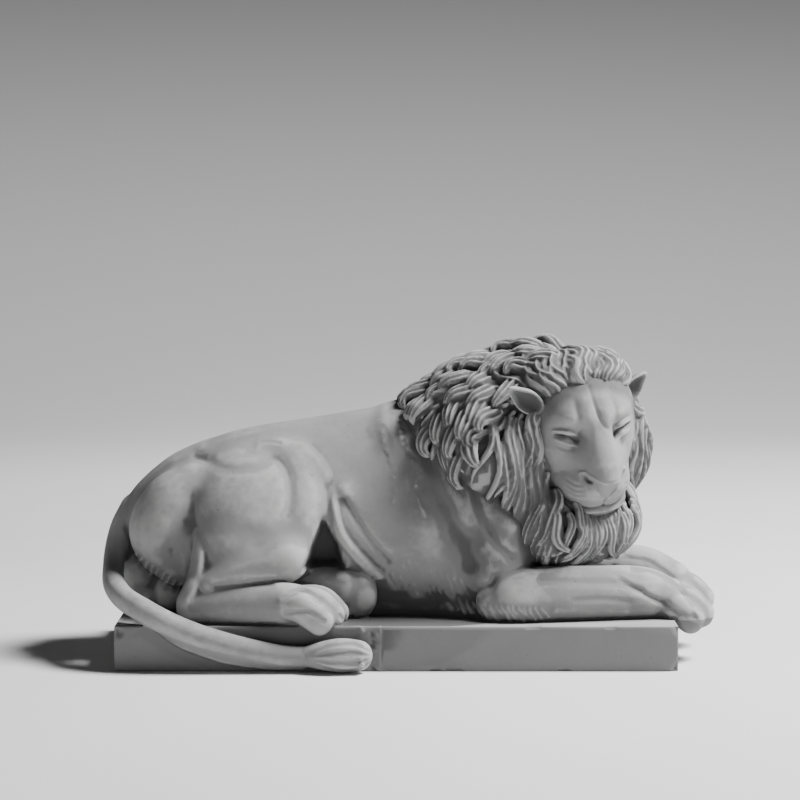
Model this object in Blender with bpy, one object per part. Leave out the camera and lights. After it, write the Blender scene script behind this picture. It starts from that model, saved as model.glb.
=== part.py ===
"""Lion lying on a low plinth, cast in plaster in one piece.

Metres, +Z up. The origin is the centre of the plinth's underside, +X runs along the plinth
towards the lion's head and forepaws, and the side that the lion shows looks along -Y.

The figure is worked out in figure units, 153 of them to the lion's height, measured from
the centre of the plinth's upper face. Its masses are closed shells: elliptical rings
carried along smooth paths, and ellipsoids. A voxel remesh fuses them into one skin.
"""

import math

import bpy
import numpy as np

# Main sizes in metres
PLINTH_LENGTH = 0.300
PLINTH_WIDTH = 0.130
PLINTH_HEIGHT = 0.024
PLINTH_EDGE = 0.0010
LION_HEIGHT = 0.153
UNIT = LION_HEIGHT / 153.0

# How finely the skin is worked: voxel sides in figure units, triangles of the solid, and
# half the width of the slots between locks that are closed
CORE_VOXEL = 2.0
LIMB_VOXEL = 1.3
HEAD_VOXEL = 0.9
MANE_VOXEL = 0.9
SKIN_VOXEL = 1.0
SKIN_TRIANGLES = 9300
SLOT = 1.2

# The head: midpoint between the eyes, turned towards the viewer, bowed and tilted
HEAD_PLACE = np.array([108.1, -38.0, 99.8])
HEAD_TURN = math.radians(22.0)
HEAD_BOW = math.radians(19.0)
HEAD_ROLL = math.radians(7.0)


def unit(v):
    """Each vector divided by its own length."""
    return v / np.maximum(np.linalg.norm(v, axis=-1, keepdims=True), 1e-12)


HEAD_FRONT = np.array(
    [
        math.sin(HEAD_TURN) * math.cos(HEAD_BOW),
        -math.cos(HEAD_TURN) * math.cos(HEAD_BOW),
        -math.sin(HEAD_BOW),
    ]
)
HEAD_LEVEL = np.array([math.cos(HEAD_TURN), math.sin(HEAD_TURN), 0.0])
HEAD_RIGHT = (
    HEAD_LEVEL * math.cos(HEAD_ROLL) + np.cross(HEAD_FRONT, HEAD_LEVEL) * math.sin(HEAD_ROLL)
)
HEAD_UP = np.cross(HEAD_FRONT, HEAD_RIGHT)
HEAD_AXES = np.stack([HEAD_RIGHT, HEAD_FRONT, HEAD_UP], axis=1)


def head(rows):
    """Rows given as right, front, up from between the eyes, in figure coordinates."""
    rows = np.atleast_2d(np.asarray(rows, float)).copy()
    rows[:, :3] = HEAD_PLACE + rows[:, :3] @ HEAD_AXES.T
    return rows


def smooth_rows(rows, steps):
    """Rows joined by a Catmull-Rom curve: each stretch p(t) has the slope (next - before) / 2."""
    rows = np.asarray(rows, float)
    p = np.vstack([2 * rows[0] - rows[1], rows, 2 * rows[-1] - rows[-2]])
    t = np.linspace(0.0, 1.0, steps, endpoint=False)[:, None]
    parts = []
    for a, b, c, d in zip(p, p[1:], p[2:], p[3:]):
        bend = (2 * a - 5 * b + 4 * c - d) * t**2
        parts.append(0.5 * (2 * b + (c - a) * t + bend + (3 * b - a - 3 * c + d) * t**3))
    return np.vstack(parts + [rows[-1:]])


def closed_shells(rings, first, last):
    """Shells from rings (shell, ring, point, xyz), each closed by a point at either end."""
    k, n, m, _ = rings.shape
    count = n * m + 2
    points = np.concatenate([rings.reshape(k, n * m, 3), first[:, None], last[:, None]], axis=1)
    j = np.arange(m)
    after = (j + 1) % m
    row = np.arange(n - 1)[:, None] * m
    quads = np.stack([row + j, row + after, row + m + after, row + m + j], axis=-1)
    low = np.stack([np.full(m, n * m), after, j], axis=-1)
    high = np.stack([np.full(m, n * m + 1), (n - 1) * m + j, (n - 1) * m + after], axis=-1)
    shift = (np.arange(k) * count)[:, None, None]
    quads = quads.reshape(1, -1, 4) + shift
    caps = np.vstack([low, high])[None] + shift
    return points.reshape(-1, 3), [quads.reshape(-1, 4), caps.reshape(-1, 3)]


def roll(rows, up=(0, 0, 1), sides=24, steps=6, egg=0.0, square=2.0, blunt=1.0):
    """Rounded bar through rows of x, y, z, half width and half height.

    A ring is c + side * w * cos(f) * (1 - egg * sin(f)) + up * h * sin(f), and the ends
    close as half ellipsoids. A square over 2 flattens the sides.
    """
    s = smooth_rows(rows, steps)
    along = unit(np.gradient(s[:, :3], axis=0))
    cap = np.radians([75.0, 60.0, 45.0, 30.0, 15.0])
    order = np.concatenate([np.zeros(5, int), np.arange(len(s)), np.full(5, len(s) - 1)])
    shrink = np.concatenate([np.cos(cap), np.ones(len(s)), np.cos(cap[::-1])])
    reach = np.concatenate([-np.sin(cap), np.zeros(len(s)), np.sin(cap[::-1])])
    length = blunt * s[order, 3:5].mean(axis=1)
    centre = s[order, :3] + along[order] * (reach * length)[:, None]
    side = unit(np.cross(np.asarray(up, float), along))[order]
    top = np.cross(along[order], side)
    f = np.linspace(0.0, 2 * math.pi, sides, endpoint=False)
    c = np.sign(np.cos(f)) * np.abs(np.cos(f)) ** (2 / square)
    e = np.sign(np.sin(f)) * np.abs(np.sin(f)) ** (2 / square)
    w = (s[order, 3] * shrink)[:, None] * c * (1 - egg * e)
    h = (s[order, 4] * shrink)[:, None] * e
    rings = centre[:, None] + side[:, None] * w[..., None] + top[:, None] * h[..., None]
    first = s[0, :3] - along[0] * length[0]
    last = s[-1, :3] + along[-1] * length[-1]
    return closed_shells(rings[None], first[None], last[None])


def ball(centre, half, axes=None, sides=28, rings=16):
    """Ellipsoid with half sizes along the given axes."""
    axes = np.eye(3) if axes is None else axes
    half = np.asarray(half, float)
    t = np.linspace(0.0, math.pi, rings + 1)[1:-1, None]
    f = np.linspace(0.0, 2 * math.pi, sides, endpoint=False)
    z = np.repeat(-np.cos(t), sides, axis=1)
    p = np.stack([np.sin(t) * np.cos(f), np.sin(t) * np.sin(f), z], axis=-1) * half
    ends = np.array([[0.0, 0.0, -half[2]], [0.0, 0.0, half[2]]]) @ axes.T + centre
    return closed_shells((p @ axes.T + centre)[None], ends[:1], ends[1:])


def leaning(degrees):
    """Axes whose upright leans away from the viewer by an angle."""
    c, s = math.cos(math.radians(degrees)), math.sin(math.radians(degrees))
    return np.array([[1, 0, 0], [0, c, s], [0, -s, c]])


def head_roll(rows, up=HEAD_UP, **shape):
    """A roll whose rows are given in the head's own directions."""
    return roll(head(rows), up, **shape)


def head_ball(centre, half):
    """An ellipsoid placed and turned with the head."""
    return ball(head(centre)[0, :3], half, HEAD_AXES)


def mesh_of(name, shells):
    """One mesh in metres from closed shells in figure units."""
    points = np.vstack([p for p, _ in shells]) * UNIT
    faces = []
    start = 0
    for p, groups in shells:
        for group in groups:
            faces += (group + start).tolist()
        start += len(p)
    mesh = bpy.data.meshes.new(name)
    mesh.from_pydata(points.tolist(), [], faces)
    mesh.update()
    return mesh


def worked(mesh, voxel=None, smooth=0, triangles=None):
    """The mesh after a voxel remesh, smoothing passes and a reduction, each if asked for."""
    stand = bpy.data.objects.new("work", mesh)
    bpy.context.scene.collection.objects.link(stand)
    if voxel:
        remesh = stand.modifiers.new("fuse", "REMESH")
        remesh.mode = "VOXEL"
        remesh.voxel_size = voxel * UNIT
        remesh.use_smooth_shade = True
    if smooth:
        ease = stand.modifiers.new("ease", "SMOOTH")
        ease.factor = 0.5
        ease.iterations = smooth
    if triangles:
        corners = stand.modifiers.new("split", "TRIANGULATE")
        corners.quad_method = "BEAUTY"
        view = bpy.context.evaluated_depsgraph_get()
        count = len(stand.evaluated_get(view).data.polygons)
        fewer = stand.modifiers.new("fewer", "DECIMATE")
        fewer.ratio = min(1.0, triangles / count)
        fewer.use_collapse_triangulate = True
    view = bpy.context.evaluated_depsgraph_get()
    result = bpy.data.meshes.new_from_object(stand.evaluated_get(view))
    bpy.data.objects.remove(stand)
    return result


def joined(name, meshes):
    """Several meshes as one, still overlapping."""
    points = []
    faces = []
    start = 0
    for mesh in meshes:
        xyz = np.empty(len(mesh.vertices) * 3, np.float32)
        mesh.vertices.foreach_get("co", xyz)
        loops = np.empty(len(mesh.loops), np.int32)
        mesh.loops.foreach_get("vertex_index", loops)
        sizes = np.empty(len(mesh.polygons), np.int32)
        mesh.polygons.foreach_get("loop_total", sizes)
        points.append(xyz.reshape(-1, 3))
        faces.append((loops + start, sizes))
        start += len(mesh.vertices)
    xyz = np.vstack(points)
    loops = np.concatenate([f for f, _ in faces])
    sizes = np.concatenate([s for _, s in faces])
    mesh = bpy.data.meshes.new(name)
    mesh.vertices.add(len(xyz))
    mesh.vertices.foreach_set("co", xyz.ravel())
    mesh.loops.add(len(loops))
    mesh.loops.foreach_set("vertex_index", loops)
    mesh.polygons.add(len(sizes))
    mesh.polygons.foreach_set("loop_start", np.cumsum(sizes) - sizes)
    mesh.polygons.foreach_set("loop_total", sizes)
    mesh.update(calc_edges=True)
    return mesh


# Flat views for strokes: right, up and towards the viewer
SIDE_VIEW = (np.array([1.0, 0, 0]), np.array([0, 0, 1.0]), np.array([0, -1.0, 0]))
FACE_VIEW = (HEAD_RIGHT, HEAD_UP, HEAD_FRONT)


def points_and_normals(mesh):
    """Places in figure units and outward directions of a mesh's vertices."""
    xyz = np.empty(len(mesh.vertices) * 3, np.float32)
    mesh.vertices.foreach_get("co", xyz)
    normals = np.empty(len(mesh.vertices) * 3, np.float32)
    mesh.vertex_normals.foreach_get("vector", normals)
    return xyz.reshape(-1, 3).astype(float) / UNIT, normals.reshape(-1, 3).astype(float)


def place_points(mesh, points):
    """Writes places in figure units back to a mesh."""
    mesh.vertices.foreach_set("co", (points * UNIT).astype(np.float32).ravel())
    mesh.update()


def from_path(flat, path):
    """Distance in a flat view from each point to a path, and how far along it, 0 to 1."""
    least = np.full(len(flat), 1e9)
    share = np.zeros(len(flat))
    count = len(path) - 1
    for i, (a, b) in enumerate(zip(path, path[1:])):
        d = b - a
        t = np.clip((flat - a) @ d / max(d @ d, 1e-9), 0.0, 1.0)
        far = ((flat - a - t[:, None] * d) ** 2).sum(axis=1)
        nearer = far < least
        least = np.where(nearer, far, least)
        share = np.where(nearer, (i + t) / count, share)
    return np.sqrt(least), share


def strokes(mesh, marks, view, origin=(0, 0, 0), fade=0.0):
    """Raises or sinks the skin along paths drawn in a view.

    The push is depth * exp(-(distance / width)^2) along the skin's outward direction, times
    how squarely the skin looks at the view. A fade thins the stroke towards its ends.
    """
    points, normals = points_and_normals(mesh)
    right, up, toward = view
    flat = np.stack([(points - origin) @ right, (points - origin) @ up], axis=1)
    facing = np.clip((normals @ toward - 0.05) / 0.3, 0, 1)
    push = np.zeros(len(points))
    for depth, width, path in marks:
        path = smooth_rows(path, 6)
        reach = 2.8 * width
        near = ((flat > path.min(0) - reach) & (flat < path.max(0) + reach)).all(axis=1)
        index = np.flatnonzero(near & (facing > 0))
        if len(index):
            far, share = from_path(flat[index], path)
            ends = 1 - fade + fade * np.sin(math.pi * np.clip(share, 0, 1)) ** 0.7
            push[index] += depth * ends * np.exp(-((far / width) ** 2))
    place_points(mesh, points + normals * (push * facing)[:, None])
    return mesh


def hollow(mesh, outline, depth, soft):
    """Sinks the near side within an outline of x, z by depth, easing in over a soft margin."""
    points, normals = points_and_normals(mesh)
    outline = np.asarray(outline, float)
    p = points[:, [0, 2]]
    inside = np.full(len(p), 1e9)
    for a, b in zip(outline, np.roll(outline, -1, axis=0)):
        d = b - a
        cross = (p[:, 0] - a[0]) * d[1] - (p[:, 1] - a[1]) * d[0]
        inside = np.minimum(inside, cross / np.linalg.norm(d))
    ease = np.clip(inside / soft, 0.0, 1.0)
    near = (points[:, 1] < 0) & (normals[:, 1] < 0.2)
    points[:, 1] += np.where(near, depth * ease * ease * (3 - 2 * ease), 0.0)
    place_points(mesh, points)
    return mesh


def core_masses():
    """Barrel, rump, thighs, shoulders, chest and neck: the forms that run into each other."""
    y = (0, 1, 0)
    return [
        roll(
            [
                (-120, 6, 50, 30, 34),
                (-106, 5, 49, 41, 43),
                (-80, 3, 51, 44, 49),
                (-45, 2, 56, 40, 50),
                (-10, 3, 57, 40, 55),
                (25, 4, 58, 42, 58),
                (55, 6, 54, 38, 54),
                (72, 6, 46, 32, 44),
            ],
            egg=0.27,
            sides=36,
            blunt=0.85,
        ),
        roll([(-104, 4, 3, 32, 12), (-60, 4, 3, 32, 12), (-20, 4, 3, 32, 12), (20, 3, 3, 32, 12),
              (64, -4, 3, 41, 12)]),
        roll([(-104, -38, 7, 12, 12), (-62, -38, 7, 12, 12)]),
        ball((-76, -21, 60), (41, 24, 41), leaning(38)),
        ball((-84, -28, 49), (29, 21, 40), leaning(34)),
        roll([(-84, -4, 80, 15, 14), (-66, -11, 81, 16, 14), (-54, -20, 74, 16, 14),
              (-51, -31, 60, 15, 13), (-58, -38, 43, 14, 12), (-72, -42, 29, 13, 11)], y),
        ball((-112, -26, 38), (14, 13, 22)),
        roll([(-60, -43, 34, 14, 15), (-85, -45, 26, 14, 14), (-100, -47, 20, 10, 12)], y),
        ball((-85, 34, 40), (40, 24, 38)),
        roll([(-108, -13, 66, 18, 20), (-120, -16, 58, 20, 21), (-127, -18, 46, 20, 21),
              (-127, -19, 36, 16, 19), (-121, -21, 28, 12, 15)], y),
        roll([(-108, 21, 64, 18, 20), (-120, 23, 56, 20, 21), (-126, 24, 44, 20, 21),
              (-124, 24, 32, 17, 19)], y),
        roll([(10, -12, 88, 22, 15), (26, -19, 70, 25, 18), (42, -24, 55, 25, 18),
              (55, -27, 44, 20, 16)], y),
        roll([(18, 22, 94, 20, 14), (34, 30, 78, 24, 18), (52, 33, 56, 25, 18),
              (64, 30, 40, 20, 16)], y),
        roll([(4, 4, 84, 31, 32), (40, 2, 88, 33, 38), (72, -3, 92, 32, 40)], sides=36),
        ball((78, -6, 50), (28, 32, 34)),
        ball((38, -24, 40), (27, 16, 34)),
        roll([(50, -24, 54, 20, 15), (53, -30, 38, 19, 15), (58, -35, 22, 17, 13)], y),
        roll([(-28, -29, 68, 7, 7), (-20, -30, 55, 7, 7), (-8, -29, 42, 8, 7),
              (4, -26, 28, 9, 8), (12, -22, 16, 9, 8)], y),
        roll([(-98, 5, 69, 26, 27), (-118, 5, 63, 23, 23), (-134, 4, 57, 16, 18),
              (-146, 1, 47, 10, 11)], y),
    ]


def limb_masses():
    """Legs, feet, tail and skin folds, which stay crisper than the core.

    The end of the tail lies along the plinth's front face, wherever that face is.
    """
    y = (0, 1, 0)
    front = -PLINTH_WIDTH / 2 / UNIT
    shells = [
        roll([(-106, -36, 50, 4, 5), (-105.5, -45, 36, 4.5, 6), (-107.5, -49, 23, 5, 7),
              (-111, -51, 11, 7, 8.5)], y),
        roll([(-109, -51, 8.5, 8, 10.5), (-90, -53, 9.5, 9, 11), (-70, -55.5, 10.5, 9.5, 11.3),
              (-57, -57, 10.5, 10, 11.8), (-44, -57.5, 8.5, 9, 10.5)]),
        roll([(-99, -49, 22, 4, 3), (-84, -51, 24, 4, 3.2), (-68, -52, 24.6, 4, 3.2)]),
        roll([(-66, -30, 16, 7, 7), (-50, -31, 18, 7, 7.5), (-38, -32, 18, 8, 8.5),
              (-28, -33, 15, 9, 12)]),
        roll([(-68, -27, 7, 8, 10), (-48, -28, 7, 8, 10), (-27, -29, 7, 8, 10)]),
        ball((-21.5, -33, 12.4), (11.5, 8, 14.1)),
        ball((-28.5, -37.6, 21), (5.6, 3.4, 5.4)),
        ball((-19, -37.6, 11.5), (8, 4.0, 8)),
        ball((-27.5, -37.6, 5), (4.8, 3.2, 5)),
        ball((-134, 4, 8), (13, 13, 10.5)),
        ball((-139, 6, 26), (17, 15, 27)),
        ball((-121, 0, 10), (14, 20, 14)),
        roll([(-35.0, -31, 70, 2.5, 3), (-33.6, -35, 60, 3, 4), (-31, -37, 49, 3.2, 5),
              (-26.0, -37, 40, 3.4, 5.5), (-18, -35, 31, 3.6, 5.5), (-10, -32, 24, 3.4, 5)], y),
        roll([(-144, 3, 54, 10, 10), (-150.5, -1, 45, 8, 8), (-154.2, -7, 35, 6.6, 6.6),
              (-155, -17, 26, 6, 6.2), (-153, -34, 18.5, 6.2, 6.4), (-146, -52, 13.5, 6.3, 6.6),
              (-135, front + 3, 8.5, 6.3, 6.7),
              (-121, front - 2.5, 2, 6.2, 6.6), (-104, front - 4.2, -4.5, 6, 6.4),
              (-83, front - 4.4, -10.3, 5.6, 6), (-61, front - 4.2, -14.5, 5.3, 5.7),
              (-42, front - 4.2, -15.3, 5.3, 5.6)], sides=20),
        roll([(-124, front + 1, -1.5, 4, 3), (-116, front - 0.5, -7, 4, 3),
              (-108, front - 1, -10.6, 4, 3.2), (-90, front - 1, -16.6, 4, 3.2),
              (-68, front - 1, -19.6, 4, 3.2), (-50, front - 1, -19.8, 4, 3)], sides=14),
        roll([(-48, front - 4.4, -15.2, 5.3, 5.6), (-38, front - 5.5, -14.6, 7, 8),
              (-29, front - 6.2, -14.2, 8, 9.2), (-20, front - 6, -14.4, 7, 8.4)]),
        roll([(54, -42, 10, 11, 11.5), (65, -43, 13, 14, 15), (86, -39, 13.5, 14, 15.5),
              (107, -35, 13, 13.5, 15.5), (124, -32, 13, 13, 15.3),
              (136, -30, 12.3, 13, 14.3), (147, -28, 9.8, 12.5, 11.7)], egg=0.2),
        roll([(50, 26, 13, 14, 15), (76, 22, 14, 14, 17), (104, 18, 15, 13, 17),
              (128, 15, 16, 12, 17.5), (141, 14.5, 15, 12.5, 16.5), (153, 14, 12.0, 12.5, 13.0)]),
    ]
    # Toes: rows of sideways place, lead and lift beside the middle of their paw
    for place, toes in (
        ((-52, -56, 12), ((-10, -3, -1), (-3.5, 3, 1), (4.5, 5, 1), (12, 1, -1))),
        ((149, -27.5, 8), ((-10, -4, -1), (-3.4, 2, 1), (3.6, 3, 1), (10, -3, -1))),
        ((154, 14, 9.5), ((-10, -4, -1), (-3.4, 2, 1), (3.6, 3, 1), (10, -3, -1))),
    ):
        px, py, pz = place
        for side, lead, lift in toes:
            shells.append(
                roll(
                    [
                        (px - 5 + 0.4 * lead, py + 0.75 * side, pz + lift, 5.5, 7.5),
                        (px + 6 + lead, py + side, pz - 1.5 + lift, 6, 8.6),
                        (px + 15 + lead, py + 1.05 * side, pz - 8.5 + lift, 5.5, 7.6),
                    ]
                )
            )
    return shells


def wander(i, rate):
    """A steady scatter between -1 and 1 for numbered things."""
    return np.sin(rate * i + 1.7 * np.sin(0.73 * rate * i + 0.4))


def tufts(first, last, count, length, lean, depth, width):
    """Short strokes hanging from a line, each swung by the wander of its number."""
    i = np.arange(count)
    t = (i + 0.5) / count
    root = np.array(first) * (1 - t[:, None]) + np.array(last) * t[:, None]
    swing = lean + 0.25 * wander(i, 2.3)
    reach = length * (1 + 0.3 * wander(i, 1.1))
    step = np.stack([swing, -np.ones(count)], axis=1)
    step = step / np.linalg.norm(step, axis=1, keepdims=True) * reach[:, None]
    bend = np.stack([0.12 * reach * wander(i, 3.1), 0 * reach], axis=1)
    return [
        (depth * (1 if k % 2 else -0.8), width, np.array([a, a + 0.5 * b + c, a + b]))
        for k, (a, b, c) in enumerate(zip(root, step, bend))
    ]


def body_marks():
    """Creases and tendons, ankle ridges, toe lines and tufts of the shown side."""
    marks = [
        (-0.9, 3.4, [(-111, 66), (-109, 52), (-107.5, 40), (-110, 27)]),
        (-0.8, 2.6, [(-110, 86), (-92, 81), (-76, 82), (-66, 86), (-59, 79), (-57, 68), (-58, 58)]),
        (0.9, 3.0, [(-74, 92), (-56, 94), (-45, 87), (-38, 77)]),
        (0.5, 1.6, [(-104, 38), (-105.5, 24), (-112, 12)]),
        (-0.7, 1.3, [(-96, 20.0), (-83, 21.5), (-66, 22)]),
        (0.6, 1.2, [(-98, 23.5), (-83, 26), (-65, 26.5)]),
        (-0.9, 1.2, [(-60, 16), (-50, 19), (-40, 14)]),
        (-0.8, 1.2, [(-58, 8), (-47, 9), (-38, 4)]),
        (-0.9, 2.0, [(-28, 64), (-16, 46), (-4, 31)]),
        (-3.2, 7.0, [(10, 108), (14, 92), (23, 66), (38, 30)]),
        (-0.7, 2.0, [(53, 24), (51, 19), (42.5, 10)]),
        (-0.9, 2.4, [(40, 78), (44, 60), (52, 44), (62, 34)]),
        (-0.8, 1.8, [(78, 23), (98, 21), (118, 20), (132, 16)]),
        (-0.6, 1.4, [(96, 12), (112, 12), (126, 10)]),
        (0.6, 1.6, [(86, 7), (104, 6), (124, 5)]),
        (-0.8, 1.2, [(121, 22), (137, 13), (146, 9), (152, 3)]),
        (-0.8, 1.2, [(134, 14), (146, 7), (160, 1)]),
        (-0.7, 1.2, [(128, 27), (140, 25), (152, 17), (160, 8)]),
        (-0.5, 0.7, [(-74, 93.5), (-68, 93.8), (-63, 93)]),
    ]
    for x, z in ((-30, 6), (-24, 1), (-34, -2), (160, 3), (166, -3), (152, -4)):
        marks.append((-1.0, 0.9, [(x, z), (x + 2.2, z - 2.6)]))
    marks += tufts((-8, 26), (46, 6), 30, 9, 0.6, 0.45, 0.9)
    marks += tufts((0, 34), (40, 18), 20, 9, 0.6, 0.3, 0.9)
    marks += tufts((36, 10), (78, 8), 28, 9, 0.8, 0.6, 0.9)
    marks += tufts((-144, 35), (-116, 17), 18, 7, -0.5, 0.6, 0.9)
    marks += tufts((-8, 104), (-2, 66), 16, 9, 0.4, 0.3, 0.9)
    marks += tufts((1, 106), (12, 68), 24, 13, 0.5, 0.45, 0.9)
    for k in range(7):
        marks.append((0.5 if k % 2 else -0.7, 0.8,
                      [(-48, -15 + 0.3 * (k - 3)), (-34, -14.5 + 2.2 * (k - 3)),
                       (-22, -14.5 + 2.4 * (k - 3)), (-13, -14.5 + 0.8 * (k - 3))]))
    return marks


def bump(r, u, place, half):
    """A soft swelling about a place: exp(-(r / a)^2 - (u / b)^2)."""
    return np.exp(-(((r - place[0]) / half[0]) ** 2) - ((u - place[1]) / half[1]) ** 2)


def soft_most(parts, sharp):
    """Rounded greatest of several offsets: log(sum of exp(sharp * part)) / sharp."""
    top = np.max(parts, axis=0)
    return top + np.log(sum(np.exp(sharp * (part - top)) for part in parts)) / sharp


def skull_front(r, u):
    """Front of the bare skull: -38 + 38 * sqrt(1 - (r / w)^2.4 - (u / h)^2.4).

    Above the middle w is 35 and h is 42. Below it w narrows to 30 and h is 60, for the jaws.
    """
    w = 35 - 5 * np.clip((-8 - u) / 14, 0, 1)
    q = (np.abs(r) / w) ** 2.4 + (np.abs(u + 8) / np.where(u > -8, 42, 60)) ** 2.4
    return -38 + 38 * np.sqrt(np.clip(1 - q, 0, 1))


def face_front(r, u):
    """How far the face stands forward at a place right and up of the point between the eyes.

    Brows, sockets, eyeballs and cheeks swell or sink the skull. The bridge is a ridge that
    falls off by (1 - t)^1.5 to either side. Muzzle and lower lip are domes raised on this.
    """
    a = np.sqrt(r * r + 0.3)
    front = skull_front(r, u)
    swellings = (
        (1.3, (5.6, 13), (4.0, 9.5)),
        (2.8, (14.5, 10.5), (9.0, 4.6)),
        (-4.4, (15.0, -0.6), (9.5, 6.2)),
        (4.4, (16.6, 0.2), (6.6, 4.6)),
        (-1.4, (10.4, -0.5), (2.8, 4.5)),
        (3.0, (20.0, -13), (8.5, 11.0)),
        (6.0, (22.0, -30), (9.0, 10.0)),
    )
    for high, place, half in swellings:
        front = front + high * bump(a, u, place, half)
    level = np.interp(u, [-36, -30, -26, -22, -18.5, -12, -5, 0, 5, 10, 15, 20, 28],
                      [-12, 13.0, 16.5, 18.6, 19.0, 15.6, 10.6, 6.8, 3.2, 0.4, -2.2, -6.2, -17])
    wide = np.interp(u, [-31, -26, -20, -10, 0, 8, 16], [1.0, 4.6, 7.2, 6.6, 6.0, 5.0, 5.0])
    flank = np.interp(u, [-28, -22, -18, -12, -6, 0, 8], [5.0, 6.5, 15, 13, 9.5, 6.0, 7.0])
    t = np.clip(np.log1p(np.exp(6 * (np.abs(r - 0.8) - wide) / flank)) / 6, 0, 1)
    ridge = (level - skull_front(0 * r, u)) * (1 - t) ** 1.5
    form = 1 - (a / 22) ** 2.3 - (np.abs(u + 28) / 14.5) ** 2.4
    muzzle = front + 17 * np.clip(form, 0, 1) ** 0.75 + 1.2 * bump(a, u, (8.5, -28.5), (6, 5))
    jaw = 1 - (a / 24) ** 2.2 - (np.abs(u + 41.5) / np.where(u > -41.5, 11, 6.5)) ** 2.2
    lip = front + 17 * np.clip(jaw, 0, 1) ** 0.65
    return soft_most([front + ridge, muzzle, lip], 0.9)


def mask(rings=70, sides=150):
    """Closed shell whose front is the face, over a full oval 33 by 39 about the nose."""
    t = np.linspace(0, 1, rings + 1)[1:, None]
    f = np.linspace(0, 2 * math.pi, sides, endpoint=False)
    r = 33 * t * np.sign(np.sin(f)) * np.abs(np.sin(f)) ** 0.75
    u = -11 + 39 * t * np.sign(np.cos(f)) * np.abs(np.cos(f)) ** 0.75
    front = np.stack([r, face_front(r, u), u], axis=-1)
    rim = front[-1:] * 1.0
    rim[..., 1] = -40
    ends = np.array([[0, face_front(np.array(0.0), np.array(-11.0)), -11], [0, -40, -11]])
    shape = np.concatenate([front, rim])
    return closed_shells(
        (HEAD_PLACE + shape @ HEAD_AXES.T)[None],
        HEAD_PLACE + ends[:1] @ HEAD_AXES.T,
        HEAD_PLACE + ends[1:] @ HEAD_AXES.T,
    )


def head_masses():
    """Skull and jaw, with the face as a mask in front of them."""
    return [
        head_ball((0, -25, -2), (28, 24, 24)),
        head_roll([(0, -10, -14, 22, 14), (0, -8, -30, 19, 12)], HEAD_FRONT),
        mask(),
    ]


def ear(s, length, width, depth, place, out, look):
    """A cupped, pointed ear: a domed back, a rounded rim and a bowl of 1 - (r / rim)^2."""
    out = unit(np.array(out) * (s, 1, 1))
    look = unit(np.array(look) * (s, 1, 1))
    look = unit(look - out * (look @ out))
    across = np.cross(look, out)
    r_back = np.linspace(0.12, 1.0, 9)
    r_front = np.linspace(0.80, 0.10, 7)
    r = np.concatenate([r_back, [1.03, 0.99, 0.90], r_front])[:, None]
    z = np.concatenate(
        [
            -depth * np.sqrt(1 - r_back**2),
            [1.0, 1.8, 2.0],
            1.2 - 0.75 * depth * (1 - (r_front / 0.82) ** 2),
        ]
    )[:, None]
    f = np.linspace(0.0, 2 * math.pi, 28, endpoint=False)
    x = r * np.cos(f) * length * (1 + 0.55 * np.maximum(np.cos(f), 0) ** 5)
    y = r * np.sin(f) * width
    z = z + 0 * f
    rings = x[..., None] * out + y[..., None] * across + z[..., None] * look
    ends = np.array([look * -depth, look * (1.2 - 0.75 * depth)])
    place = np.array(place) * (s, 1, 1)
    rings = HEAD_PLACE + (rings + place) @ HEAD_AXES.T
    ends = HEAD_PLACE + (ends + place) @ HEAD_AXES.T
    return closed_shells(rings[None], ends[:1], ends[1:])


def crisp_head_masses():
    """Ears, fused after the head so that they keep their edges."""
    return [
        ear(-1, 9.2, 6.4, 6.4, (33.0, -18, 17), (0.78, -0.20, 0.62), (0.15, 0.95, -0.15)),
        ear(1, 8.2, 6.2, 5.0, (30.5, -23, 12.5), (0.74, -0.30, 0.56), (0.35, 0.90, 0.05)),
    ]


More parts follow.
